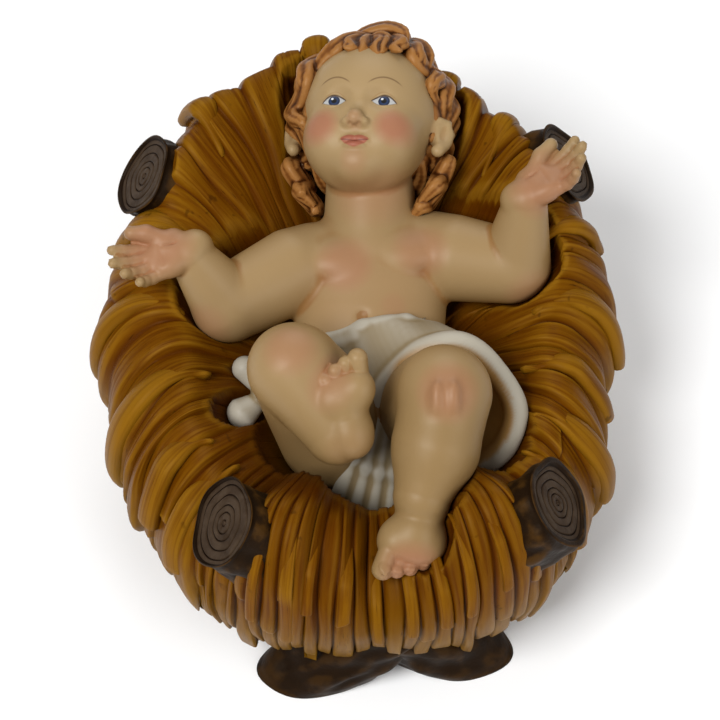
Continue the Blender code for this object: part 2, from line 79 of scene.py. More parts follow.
def unit(vector: Point) -> Array:
    """Returns the vector at length one."""
    made = np.array(vector, float)
    return made / np.linalg.norm(made)


def look(right: float, up: float, back: float) -> Array:
    """Returns a direction given along the view from the foot end."""
    return VIEW_RIGHT * right + VIEW_UP * up + VIEW_BACK * back


def soft_less(first: Array, second: Array, fillet: float) -> Array:
    """Returns the lesser of two distances, run together over a fillet."""
    mix = np.clip(0.5 + 0.5 * (second - first) / fillet, 0, 1)
    return second + (first - second) * mix - fillet * mix * (1 - mix)


def rounded(a: Array, b: Array, c: Array, d: Array, t: Array | float) -> Array:
    """Returns the place at t, from b to c, on a rounded line through four points."""
    return 0.5 * (2 * b + (c - a) * t + (2 * a - 5 * b + 4 * c - d) * t ** 2
                  + (3 * b - a - 3 * c + d) * t ** 3)


# Tools that shape and join meshes.


def deselect() -> None:
    """Clears the selection, in object mode."""
    if bpy.context.object and bpy.context.object.mode != "OBJECT":
        bpy.ops.object.mode_set(mode="OBJECT")
    bpy.ops.object.select_all(action="DESELECT")


def select_only(*objects: bpy.types.Object) -> None:
    """Selects these objects alone, the first of them active."""
    deselect()
    for obj in objects:
        obj.select_set(True)
    bpy.context.view_layer.objects.active = objects[0]


def apply_modifier(obj: bpy.types.Object, kind: str, **settings: object) -> None:
    """Adds a modifier, sets it and applies it.

    Args:
        obj: The object to change.
        kind: The modifier's type.
        **settings: Its settings by name.
    """
    select_only(obj)
    modifier = obj.modifiers.new(kind.lower(), kind)
    for key, value in settings.items():
        setattr(modifier, key, value)
    bpy.ops.object.modifier_apply(modifier=modifier.name)


def read_points(mesh: bpy.types.Mesh) -> Array:
    """Returns the mesh's vertices as rows."""
    flat = np.zeros(len(mesh.vertices) * 3, np.float32)
    mesh.vertices.foreach_get("co", flat)
    return flat.reshape(-1, 3)


def read_normals(mesh: bpy.types.Mesh) -> Array:
    """Returns the way that each of the mesh's vertices faces."""
    flat = np.zeros(len(mesh.vertices) * 3, np.float32)
    mesh.vertices.foreach_get("normal", flat)
    return flat.reshape(-1, 3)


def write_points(mesh: bpy.types.Mesh, points: Array) -> None:
    """Puts the mesh's vertices where the rows say."""
    mesh.vertices.foreach_set("co", np.asarray(points, np.float32).ravel())
    mesh.update()


def read_edges(mesh: bpy.types.Mesh) -> Array:
    """Returns the mesh's edges as pairs of vertex numbers."""
    flat = np.zeros(len(mesh.edges) * 2, np.int32)
    mesh.edges.foreach_get("vertices", flat)
    return flat.reshape(-1, 2)


def store(mesh: bpy.types.Mesh, name: str, values: Array) -> None:
    """Keeps a number or a vector for each vertex, for the material to read."""
    values = np.asarray(values, np.float32)
    kind = "FLOAT" if values.ndim == 1 else "FLOAT_VECTOR"
    layer = mesh.attributes.new(name, kind, "POINT")
    layer.data.foreach_set("value" if values.ndim == 1 else "vector", values.ravel())


def neighbour_mean(values: Array, edges: Array) -> Array:
    """Returns the mean of each vertex's neighbours."""
    rows = values if values.ndim == 2 else values[:, None]
    total = np.zeros(rows.shape)
    count = np.zeros(len(rows))
    for a, b in ((0, 1), (1, 0)):
        for axis in range(rows.shape[1]):
            total[:, axis] += np.bincount(edges[:, a], rows[edges[:, b], axis], len(rows))
        count += np.bincount(edges[:, a], minlength=len(rows))
    mean = total / np.maximum(count, 1)[:, None]
    return mean if values.ndim == 2 else mean[:, 0]


def hollowness(mesh: bpy.types.Mesh, reach: int) -> Array:
    """Returns how far each vertex lies below its surroundings, in shares.

    Args:
        mesh: The finished mesh.
        reach: How many rounds of smoothing the surroundings get.

    Returns:
        A number for each vertex, above zero in grooves and below zero on ridges.
    """
    points = read_points(mesh).astype(float)
    edges = read_edges(mesh)
    smooth = points
    for _ in range(reach):
        smooth = neighbour_mean(smooth, edges)
    return ((smooth - points) * read_normals(mesh)).sum(1)


def turned_away_shade(mesh: bpy.types.Mesh) -> Array:
    """Returns how far each vertex faces down or away from the foot end, for the painted shade on surfaces
    turned from the view.
    """
    facing = read_normals(mesh) @ look(-0.12, 0.1, 0.98)
    return np.clip((0.72 - facing) / 0.75, 0, 1) ** 1.2 * 0.85


def dress(obj: bpy.types.Object, material: bpy.types.Material, node: str) -> None:
    """Brings a finished piece to metres, and gives it its material and its place in the frame.

    Args:
        obj: The piece, in shares.
        material: Its finish.
        node: The solid that it stands for.
    """
    write_points(obj.data, read_points(obj.data).astype(float) * SHARE + OFFSET)
    obj.data.materials.clear()
    obj.data.materials.append(material)
    obj.data.shade_smooth()
    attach(obj, "root")
    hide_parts(node)
    LOG.info("%s: %d faces", obj.name, len(obj.data.polygons))


# Blended solids: a distance from a surface, and rough shapes to start a mesh from.


class Form:
    """A solid given by its distance function, bounded by a ball."""

    reach = 5.0
    centre: Array = np.zeros(3)
    radius: float = 0.0

    def exact(self, points: Array) -> Array:
        """Returns each point's distance from the surface."""
        raise NotImplementedError

    def distance(self, points: Array) -> Array:
        """Returns the distance, worked out only for the points near the form."""
        far = np.linalg.norm(points - self.centre, axis=1) - self.radius
        near = far < self.reach
        found = np.maximum(far, self.reach)
        if near.any():
            found[near] = self.exact(points[near])
        return found

    def rough(self) -> list[tuple[Array, Array]]:
        """Returns the form's limbs as lines with radii, and adds its balls to the mesh in edit mode."""
        return []


class Cone(Form):
    """A limb between two balls."""

    def __init__(self, start: Point, end: Point, first: float, last: float | None = None) -> None:
        """Keeps the two ends and their radii."""
        self.start, self.end = np.array(start, np.float32), np.array(end, np.float32)
        self.first, self.last = float(first), float(first if last is None else last)
        self.centre = (self.start + self.end) / 2
        self.radius = float(np.linalg.norm(self.end - self.start)) / 2 + max(self.first, self.last)

    def exact(self, points: Array) -> Array:
        """Returns each point's distance from the limb."""
        line = self.end - self.start
        from_start = points - self.start
        along = np.clip(from_start @ line / max(line @ line, 1e-9), 0, 1)
        thick = self.first + (self.last - self.first) * along
        return np.linalg.norm(from_start - along[:, None] * line, axis=1) - thick

    def rough(self) -> list[tuple[Array, Array]]:
        """Returns the limb as a line with radii, rounded at its ends."""
        way = unit(self.end - self.start)
        line = [self.start - way * self.first * 0.9, self.start - way * self.first * 0.5, self.start,
                self.end, self.end + way * self.last * 0.5, self.end + way * self.last * 0.9]
        radii = (self.first * 0.4, self.first * 0.85, self.first,
                 self.last, self.last * 0.85, self.last * 0.4)
        return [(np.array(line), np.array(radii))]


class Egg(Form):
    """An ellipsoid, turned by its own axes."""

    def __init__(self, centre: Point, radii: Point, axes: Array | None = None) -> None:
        """Keeps the middle, the three radii and the axes, as columns."""
        self.centre, self.radii = np.array(centre, np.float32), np.array(radii, np.float32)
        self.axes = np.eye(3, dtype=np.float32) if axes is None else np.array(axes, np.float32)
        self.radius = float(self.radii.max())

    def exact(self, points: Array) -> Array:
        """Returns each point's distance, near enough close to the surface."""
        local = (points - self.centre) @ self.axes
        near = np.linalg.norm(local / self.radii, axis=1)
        slope = np.linalg.norm(local / self.radii ** 2, axis=1)
        return near * (near - 1) / np.maximum(slope, 1e-6)

    def rough(self) -> list[tuple[Array, Array]]:
        """Adds a turned and scaled ball."""
        turn = Matrix(self.axes.tolist())
        if turn.determinant() < 0:
            turn = turn @ Matrix.Diagonal((-1, 1, 1))
        bpy.ops.mesh.primitive_ico_sphere_add(subdivisions=3, radius=1, location=self.centre,
                                              rotation=turn.to_euler(), scale=self.radii)
        return []


class Blend(Form):
    """Forms run together with a fillet, and others carved out of them."""

    def __init__(self, forms: Iterable[Form], fillet: float, carve: Iterable[Form] = (),
                 edge: float = 0.5) -> None:
        """Keeps the forms and bounds them."""
        self.forms, self.fillet, self.carve, self.edge = list(forms), fillet, list(carve), edge
        low = np.min([f.centre - f.radius for f in self.forms], 0)
        high = np.max([f.centre + f.radius for f in self.forms], 0)
        self.centre = ((low + high) / 2).astype(np.float32)
        self.radius = float(np.linalg.norm(high - low)) / 2

    def exact(self, points: Array) -> Array:
        """Returns each point's distance from the blended surface."""
        found = self.forms[0].distance(points)
        for form in self.forms[1:]:
            found = soft_less(found, form.distance(points), self.fillet)
        for form in self.carve:
            found = -soft_less(-found, form.distance(points), self.edge)
        return found

    def rough(self) -> list[tuple[Array, Array]]:
        """Returns all the forms' limbs, and adds their balls."""
        return [limb for form in self.forms for limb in form.rough()]


class Half(Form):
    """All that lies behind a plane."""

    def __init__(self, point: Point, normal: Point) -> None:
        """Keeps a point of the plane and the way it faces."""
        self.point, self.normal = np.array(point, np.float32), unit(normal).astype(np.float32)

    def distance(self, points: Array) -> Array:
        """Returns each point's height over the plane."""
        return (points - self.point) @ self.normal


class Meet(Form):
    """Where two forms overlap."""

    def __init__(self, first: Form, second: Form, edge: float) -> None:
        """Keeps both forms and how round their common edge is."""
        self.first, self.second, self.edge = first, second, edge
        self.centre, self.radius = first.centre, first.radius

    def exact(self, points: Array) -> Array:
        """Returns each point's distance from the overlap."""
        return -soft_less(-self.first.distance(points), -self.second.distance(points), self.edge)

    def rough(self) -> list[tuple[Array, Array]]:
        """Returns the first form's limbs, and adds its balls."""
        return self.first.rough()


class Lock(Form):
    """A tapering lock of hair along a line, grooved lengthways."""

    def __init__(self, points: Sequence[Point], radii: Sequence[float], inward: Point,
                 grooves: int = 5, depth: float = 0.17) -> None:
        """Keeps the line, its radii and the point that its underside faces."""
        self.line, self.radii = np.array(points, np.float32), np.array(radii, np.float32)
        self.inward, self.grooves, self.depth = np.array(inward, np.float32), grooves, depth
        self.centre = (self.line.min(0) + self.line.max(0)) / 2
        self.radius = float(np.linalg.norm(self.line - self.centre, axis=1).max() + self.radii.max())

    def exact(self, points: Array) -> Array:
        """Returns each point's distance from the grooved lock."""
        best = np.full(len(points), 9.0, np.float32)
        for i in range(len(self.line) - 1):
            start, end = self.line[i], self.line[i + 1]
            line = end - start
            size = float(np.linalg.norm(line))
            within = size / 2 + self.radii[i:i + 2].max() + 2.0
            near = np.linalg.norm(points - (start + end) / 2, axis=1) < within
            if not near.any():
                continue
            spot = points[near] - start
            along = np.clip(spot @ line / (size * size), 0, 1)
            off = spot - along[:, None] * line
            thick = self.radii[i] + (self.radii[i + 1] - self.radii[i]) * along
            out = start + along[:, None] * line - self.inward
            way = line / size
            out = out - (out @ way)[:, None] * way
            out /= np.maximum(np.linalg.norm(out, axis=1, keepdims=True), 1e-6)
            turn = np.arctan2((off * np.cross(way[None, :], out)).sum(1), (off * out).sum(1))
            cut = thick * self.depth * (0.5 - 0.5 * np.cos(self.grooves * turn))
            best[near] = np.minimum(best[near], np.linalg.norm(off, axis=1) - thick + cut)
        return best

    def rough(self) -> list[tuple[Array, Array]]:
        """Returns the lock's line and radii."""
        return [(self.line, self.radii * 0.95)]


@dataclass
class Axes:
    """A limb's or the head's own axes: x across, y along, z out of the palm, sole or face."""

    origin: Array
    turn: Array
    mirror: int = 1
    size: float = 1.0

    @classmethod
    def along(cls, origin: Point, axis: Point, normal: Point, side: Side, size: float = 1.0) -> "Axes":
        """Sets the axes from the way a limb points and the way its palm or sole faces."""
        y = unit(axis)
        z = unit(np.array(normal, float) - np.dot(normal, y) * y)
        return cls(np.array(origin, float), np.stack([np.cross(y, z), y, z], 1), side.value, size)

    def point(self, local: Point) -> Array:
        """Returns where a local point lies."""
        return self.origin + self.turn @ (np.array(local, float) * (self.mirror, 1, 1)) * self.size

    def local(self, points: Array) -> Array:
        """Returns points in these axes."""
        return (points - self.origin) @ self.turn * (self.mirror, 1, 1)

    def cone(self, start: Point, end: Point, first: float, last: float | None = None) -> Cone:
        """Returns a limb given in these axes."""
        last = first if last is None else last
        return Cone(self.point(start), self.point(end), first * self.size, last * self.size)

    def egg(self, centre: Point, radii: Point, turn: float = 0.0) -> Egg:
        """Returns an ellipsoid given in these axes, turned about z."""
        a = math.radians(turn) * self.mirror
        spin = np.array(((math.cos(a), -math.sin(a), 0), (math.sin(a), math.cos(a), 0), (0, 0, 1)))
        return Egg(self.point(centre), np.array(radii) * self.size, self.turn @ spin)

    def chain(self, points: Sequence[Point], radii: Sequence[float]) -> list[Form]:
        """Returns limbs end to end, given in these axes."""
        return [self.cone(points[i], points[i + 1], radii[i], radii[i + 1])
                for i in range(len(points) - 1)]


def surface_along(form: Form, origin: Array, way: Array) -> Array:
    """Returns where a line first meets a form.

    Args:
        form: The solid.
        origin: A point outside it.
        way: The direction to search in.

    Returns:
        The point on the surface.
    """
    spot = np.array(origin, float)
    for _ in range(90):
        gap = float(form.distance(spot[None, :].astype(np.float32))[0])
        if gap < 0.01:
            break
        spot = spot + unit(way) * min(gap, 2.0) * 0.9
    return spot


def gather(form: Form, voxel: float, name: str) -> bpy.types.Object:
    """Runs a form's primitives together into one closed mesh.

    Args:
        form: The solid.
        voxel: The size of the remesh.
        name: The object's name.

    Returns:
        The remeshed object.
    """
    deselect()
    bpy.ops.mesh.primitive_ico_sphere_add(subdivisions=1, radius=0.5, location=form.forms[0].centre)
    obj = bpy.context.object
    obj.name = obj.data.name = name
    bpy.ops.object.transform_apply(location=True, rotation=True, scale=True)
    bpy.ops.object.mode_set(mode="EDIT")
    limbs = form.rough()
    bpy.ops.object.mode_set(mode="OBJECT")
    curve = bpy.data.curves.new(name + "_limbs", "CURVE")
    curve.dimensions = "3D"
    curve.bevel_depth, curve.bevel_resolution, curve.use_fill_caps = 1.0, 3, True
    for line, radii in limbs:
        spline = curve.splines.new("POLY")
        spline.points.add(len(line) - 1)
        spline.points.foreach_set("co", np.column_stack([line, np.ones(len(line))]).ravel())
        spline.points.foreach_set("radius", radii)
    tubes = bpy.data.objects.new(name + "_limbs", curve)
    bpy.context.scene.collection.objects.link(tubes)
    select_only(tubes)
    bpy.ops.object.convert(target="MESH")
    select_only(obj, tubes)
    bpy.ops.object.join()
    apply_modifier(obj, "REMESH", mode="VOXEL", voxel_size=voxel, adaptivity=0.0)
    return obj


def settle(obj: bpy.types.Object, form: Form, rounds: int = 4, ease: float = 0.5,
           most: float = 1.5) -> None:
    """Moves a mesh's vertices onto a form's surface, easing them apart between the moves.

    Args:
        obj: The object to change.
        form: The solid that it takes its surface from.
        rounds: How many times the vertices move.
        ease: How far they go to their neighbours' mean between the moves, from 0 to 1.
        most: The longest move.
    """
    points = read_points(obj.data)
    edges = read_edges(obj.data)
    for i in range(rounds):
        if i and ease:
            points = (points + (neighbour_mean(points, edges) - points) * ease).astype(np.float32)
        gap = form.distance(points)
        slope = np.empty_like(points)
        for axis in range(3):
            moved = points.copy()
            moved[:, axis] += PROBE
            slope[:, axis] = (form.distance(moved) - gap) / PROBE
        step = -(gap / np.maximum((slope ** 2).sum(1), 0.2))[:, None] * slope
        size = np.linalg.norm(step, axis=1, keepdims=True)
        points = (points + step * np.minimum(1, most / np.maximum(size, 1e-6))).astype(np.float32)
    write_points(obj.data, points)


def refine(obj: bpy.types.Object, inside: Callable[[Array], Array]) -> None:
    """Cuts in four the faces whose middles are chosen.

    Args:
        obj: The object to change.
        inside: Takes rows of points and says which are chosen.
    """
    select_only(obj)
    mesh = obj.data
    middles = np.zeros(len(mesh.polygons) * 3, np.float32)
    mesh.polygons.foreach_get("center", middles)
    chosen = inside(middles.reshape(-1, 3))
    bpy.ops.object.mode_set(mode="EDIT")
    bpy.ops.mesh.select_mode(type="FACE")
    bpy.ops.mesh.select_all(action="DESELECT")
    bpy.ops.object.mode_set(mode="OBJECT")
    mesh.polygons.foreach_set("select", chosen.astype(bool))
    bpy.ops.object.mode_set(mode="EDIT")
    bpy.ops.mesh.subdivide(number_cuts=1, quadcorner="INNERVERT")
    bpy.ops.object.mode_set(mode="OBJECT")


# Shader graphs written as expressions.


@dataclass
class Value:
    """A number in a shader graph, which takes part in Python's own sums."""

    graph: "Graph"
    socket: bpy.types.NodeSocket

    def _do(self, operation: str, *others: "Value | float",
            first: "Value | float | None" = None) -> "Value":
        """Adds one Math node for this value and the others."""
        terms = [self, *others] if first is None else [first, self]
        return self.graph.sum(operation, *terms)

    def __add__(self, other: "Value | float") -> "Value":
        """Adds."""
        return self._do("ADD", other)

    __radd__ = __add__

    def __sub__(self, other: "Value | float") -> "Value":
        """Takes away."""
        return self._do("SUBTRACT", other)

    def __rsub__(self, other: float) -> "Value":
        """Takes this value away from a number."""
        return self._do("SUBTRACT", first=other)

    def __mul__(self, other: "Value | float") -> "Value":
        """Multiplies."""
        return self._do("MULTIPLY", other)

    __rmul__ = __mul__

    def __truediv__(self, other: "Value | float") -> "Value":
        """Divides."""
        return self._do("DIVIDE", other)

    def __pow__(self, other: float) -> "Value":
        """Raises to a power."""
        return self._do("POWER", other)

    def below(self, edge: "Value | float", soft: float) -> "Value":
        """Returns 1 well below the edge and 0 well above it, eased over the soft width."""
        return self.graph.step(self, edge, soft, falling=True)

    def above(self, edge: "Value | float", soft: float) -> "Value":
        """Returns 1 well above the edge and 0 well below it."""
        return self.graph.step(self, edge, soft, falling=False)

    def size(self) -> "Value":
        """Returns the value without its sign."""
        return self._do("ABSOLUTE")


class Graph:
    """A procedural material, built one node at a time."""

    def __init__(self, name: str, roughness: float, **constants: object) -> None:
        """Starts a material from its shader, with constants on the shader's own sockets."""
        self.material = bpy.data.materials.new(name)
        self.material.use_nodes = True
        self.tree = self.material.node_tree
        self.shader = self.tree.nodes["Principled BSDF"]
        self.shader.inputs["Roughness"].default_value = roughness
        for key, value in constants.items():
            socket = key.replace("_", " ").title().replace("Ior", "IOR")
            self.shader.inputs[socket].default_value = value

    def node(self, kind: str, settings: dict[str, object] | None = None,
             inputs: dict[str | int, object] | None = None) -> bpy.types.Node:
        """Adds a node, sets it, and fills or links its inputs."""
        made = self.tree.nodes.new("ShaderNode" + kind)
        for key, value in (settings or {}).items():
            setattr(made, key, value)
        for key, value in (inputs or {}).items():
            socket = made.inputs[key]
            if isinstance(value, Value):
                self.tree.links.new(value.socket, socket)
            elif isinstance(value, bpy.types.NodeSocket):
                self.tree.links.new(value, socket)
            else:
                socket.default_value = value
        return made

    def sum(self, operation: str, *terms: Value | float) -> Value:
        """Returns the result of one Math node."""
        made = self.node("Math", {"operation": operation}, dict(enumerate(terms)))
        return Value(self, made.outputs[0])

    def step(self, value: Value, edge: Value | float, soft: float, falling: bool) -> Value:
        """Returns an eased step of a value about an edge."""
        shifted = (value - edge) if isinstance(edge, Value) else value
        middle = 0.0 if isinstance(edge, Value) else edge
        low, high = (1.0, 0.0) if falling else (0.0, 1.0)
        made = self.node("MapRange", {"interpolation_type": "SMOOTHSTEP"},
                         {"Value": shifted, "From Min": middle - soft, "From Max": middle + soft,
                          "To Min": low, "To Max": high})
        return Value(self, made.outputs[0])

    def stored(self, name: str) -> Value:
        """Returns a number kept on the vertices."""
        return Value(self, self.node("Attribute", {"attribute_name": name}).outputs["Fac"])

    def stored_vector(self, name: str) -> bpy.types.NodeSocket:
        """Returns a vector kept on the vertices."""
        return self.node("Attribute", {"attribute_name": name}).outputs["Vector"]

    def split(self, vector: bpy.types.NodeSocket) -> tuple[Value, Value, Value]:
        """Returns a vector's three numbers."""
        made = self.node("SeparateXYZ", inputs={0: vector})
        return tuple(Value(self, made.outputs[i]) for i in range(3))

    def place(self) -> bpy.types.NodeSocket:
        """Returns the object's own coordinates, in metres."""
        return self.node("TexCoord").outputs["Object"]

    def stretched(self, vector: bpy.types.NodeSocket, scale: Point) -> bpy.types.NodeSocket:
        """Returns a vector scaled along each axis."""
        made = self.node("VectorMath", {"operation": "MULTIPLY"}, {0: vector, 1: scale})
        return made.outputs[0]

    def noise(self, vector: bpy.types.NodeSocket, scale: float, detail: float = 3.0,
              rough: float = 0.55) -> Value:
        """Returns a cloudy pattern."""
        made = self.node("TexNoise", inputs={"Vector": vector, "Scale": scale, "Detail": detail,
                                             "Roughness": rough})
        return Value(self, made.outputs["Fac"])

    def mix(self, factor: Value | float, first: object, second: object) -> bpy.types.NodeSocket:
        """Returns one colour run over to another by a factor."""
        made = self.node("Mix", {"data_type": "RGBA"})
        for index, value in ((0, factor), (6, first), (7, second)):
            if isinstance(value, Value):
                self.tree.links.new(value.socket, made.inputs[index])
            elif isinstance(value, bpy.types.NodeSocket):
                self.tree.links.new(value, made.inputs[index])
            elif isinstance(value, tuple):
                made.inputs[index].default_value = (*value, 1.0)
            else:
                made.inputs[index].default_value = value
        return made.outputs[2]

    def bump(self, height: Value, depth: float, strength: float = 1.0) -> None:
        """Gives the shader fine relief, its depth in metres."""
        made = self.node("Bump", inputs={"Height": height, "Distance": depth, "Strength": strength})
        self.tree.links.new(made.outputs[0], self.shader.inputs["Normal"])

    def colour(self, socket: bpy.types.NodeSocket) -> None:
        """Gives the shader its colour."""
        self.tree.links.new(socket, self.shader.inputs["Base Color"])

    def roughness(self, value: Value) -> None:
        """Gives the shader a roughness that changes over the surface."""
        self.tree.links.new(value.socket, self.shader.inputs["Roughness"])


@dataclass(frozen=True)
class SkinPaint:
    """Satin flesh paint, with blushes, a plainly painted face, painted shade in its hollows, on surfaces
    turned from the view and towards the feet, and painted light towards the head.
    """

    skin: Colour = (0.298, 0.190, 0.082)
    pale: Colour = (0.330, 0.228, 0.112)
    shade: Colour = (0.225, 0.100, 0.022)
    # Painted shade on surfaces turned down or away from the view.
    edge: Colour = (0.262, 0.145, 0.040)
    blush: Colour = (0.330, 0.130, 0.072)
    # Painted light towards the head end.
    head: Colour = (0.365, 0.250, 0.120)
    # Painted shade towards the feet.
    legs: Colour = (0.215, 0.130, 0.046)
    lips: Colour = (0.300, 0.070, 0.045)
    white: Colour = (0.42, 0.42, 0.41)
    iris: Colour = (0.016, 0.032, 0.085)
    line: Colour = (0.035, 0.013, 0.006)
    iris_edge: Colour = (0.006, 0.010, 0.030)
    pupil: Colour = (0.004, 0.004, 0.006)
    glint: Colour = (0.70, 0.72, 0.75)
    brow: Colour = (0.075, 0.028, 0.010)
    seam: Colour = (0.110, 0.018, 0.012)

    def make(self) -> bpy.types.Material:
        """Returns the material."""
        graph = Graph("skin_paint", 0.42, specular_ior_level=0.3,
                      specular_tint=(1.0, 0.93, 0.82, 1.0))
        place = graph.place()
        cloudy = graph.noise(place, 55.0, 2.0)
        fine = graph.noise(place, 900.0, 2.0)
        colour = graph.mix(cloudy * 0.4, self.skin, self.pale)
        hollow = graph.stored("hollow")
        # Painted shade on surfaces turned from the view, then painted shade in the hollows.
        colour = graph.mix(graph.stored("under"), colour, self.edge)
        colour = graph.mix(hollow.above(0.13, 0.13) * 0.75, colour, self.shade)
        # Painted light towards the head and painted shade towards the feet, along the body.
        along = graph.split(place)[1]
        colour = graph.mix(along.above(0.034, 0.012) * 0.6, colour, self.head)
        colour = graph.mix(along.below(-0.040, 0.010) * 0.55, colour, self.legs)
        colour = graph.mix(graph.stored("blush"), colour, self.blush)
        colour = self._face(graph, colour)
        graph.colour(colour)
        graph.roughness(0.40 + fine * 0.10)
        graph.bump(fine, 0.00004, 0.5)
        return graph.material

    def _face(self, graph: Graph, colour: bpy.types.NodeSocket) -> bpy.types.NodeSocket:
        """Adds painted eyes, brows and lips, by the head's own axes."""
        x, y, z = graph.split(graph.stored_vector("head_place"))
        front = z.above(9.0, 1.0) * y.above(-19.0, 1.0)
        across = x.size()
        off = across - EYE_ACROSS
        rise = y - EYE_HEIGHT
        arc = 1.0 - (off * off) * (1 / 11.6)
        upper = arc * 1.75
        lower = arc * -1.35
        inside = rise.below(upper, 0.16) * rise.above(lower, 0.16) * front
        colour = graph.mix(inside, colour, self.white)
        ring = graph.sum("SQRT", off * off + (rise - 0.12) * (rise - 0.12))
        colour = graph.mix(ring.below(1.62, 0.12) * inside, colour, self.iris)
        rim = ring.below(1.62, 0.1) - ring.below(1.32, 0.16)
        colour = graph.mix(rim * inside, colour, self.iris_edge)
        colour = graph.mix(ring.below(0.78, 0.1) * inside, colour, self.pupil)
        glint = graph.sum("SQRT", (x - x / across * EYE_ACROSS + 0.55) ** 2.0
                          + (rise - 0.75) * (rise - 0.75))
        colour = graph.mix(glint.below(0.36, 0.1) * inside, colour, self.glint)
        lash = (rise - upper).size().below(0.24, 0.14) * off.size().below(3.5, 0.3) * front
        colour = graph.mix(lash * 0.92, colour, self.line)
        under = (rise - lower).size().below(0.14, 0.14) * off.size().below(3.2, 0.5) * front
        colour = graph.mix(under * 0.45, colour, self.line)
        fold_line = (1.0 - (off * off) * (1 / 15.0)) * 2.7
        fold = (rise - fold_line).size().below(0.14, 0.16) * off.size().below(3.4, 0.8)
        colour = graph.mix(fold * front * 0.35, colour, self.shade)
        brow_line = 5.6 - (off - 0.6) * (off - 0.6) * 0.085
        brow = (y - brow_line).size().below(0.20, 0.24) * off.size().below(4.1, 1.0) * front
        colour = graph.mix(brow * 0.70, colour, self.brow)
        return self._mouth(graph, colour, x, y, front)

    def _mouth(self, graph: Graph, colour: bpy.types.NodeSocket, x: Value, y: Value,
               front: Value) -> bpy.types.NodeSocket:
        """Adds the lips' paint and the line between them."""
        across = x.size()
        seam = -13.75 + across * 0.10
        top = seam + 1.55 - (across - 0.9) * (across - 0.9) * 0.125
        low = seam - 1.95 + across * across * 0.13
        lips = y.below(top, 0.22) * y.above(low, 0.26) * across.below(4.0, 0.3) * front
        colour = graph.mix(lips * 0.85, colour, self.lips)
        line = (y - seam).size().below(0.16, 0.14) * across.below(3.9, 0.4) * front
        return graph.mix(line * 0.8, colour, self.seam)


@dataclass(frozen=True)
class HairPaint:
    """Ginger-brown hair paint, washed dark and painted with shade in its grooves, dry-brushed and painted
    with highlights on its ridges.
    """

    base: Colour = (0.172, 0.058, 0.011)
    warm: Colour = (0.215, 0.080, 0.017)
    # Washed dark, with painted shade, in the grooves.
    groove: Colour = (0.046, 0.012, 0.002)
    # Dry-brushing and painted highlights, on the ridges.
    ridge: Colour = (0.320, 0.140, 0.036)

    def make(self) -> bpy.types.Material:
        """Returns the material."""
        graph = Graph("hair_paint", 0.42, specular_ior_level=0.3,
                      specular_tint=(1.0, 0.80, 0.55, 1.0))
        place = graph.place()
        cloudy = graph.noise(place, 120.0, 3.0)
        hollow = graph.stored("hollow") + (cloudy - 0.5) * 0.10
        colour = graph.mix(cloudy.above(0.5, 0.2) * 0.4, self.base, self.warm)
        # Washed dark with painted shade in the grooves, dry-brushed with painted highlights on the ridges.
        colour = graph.mix(hollow.above(0.05, 0.10), colour, self.groove)
        colour = graph.mix(hollow.below(-0.07, 0.07) * 0.85, colour, self.ridge)
        graph.colour(colour)
        graph.bump(graph.noise(place, 1400.0, 2.0), 0.00005, 0.5)
        return graph.material


@dataclass(frozen=True)
class ClothPaint:
    """White cloth paint, with warm grey painted shade in its folds, painted ochre shade beside the leg and
    painted highlights on its ridges.
    """

    base: Colour = (0.220, 0.160, 0.078)
    # Painted highlights on the ridges, and painted shade in the folds.
    ridge: Colour = (0.405, 0.370, 0.300)
    fold: Colour = (0.200, 0.136, 0.070)
    # Painted warm shade beside the leg.
    warm: Colour = (0.320, 0.165, 0.036)
    cloud: Colour = (0.240, 0.190, 0.112)

    def make(self) -> bpy.types.Material:
        """Returns the material."""
        graph = Graph("cloth_paint", 0.5, specular_ior_level=0.3)
        place = graph.place()
        cloudy = graph.noise(place, 90.0, 3.0)
        hollow = graph.stored("hollow")
        deep = graph.stored("deep")
        colour = graph.mix(cloudy * 0.5, self.base, self.cloud)
        # Painted highlights on the ridges and painted shade in the folds.
        colour = graph.mix(hollow.below(-0.05, 0.12) * 0.9, colour, self.ridge)
        colour = graph.mix(hollow.above(0.13, 0.14) * 0.55, colour, self.fold)
        # Painted warm shade where the cloth faces or nears the leg.
        colour = graph.mix(deep, colour, self.warm)
        graph.colour(colour)
        graph.bump(graph.noise(place, 1500.0, 2.0), 0.00004, 0.5)
        return graph.material


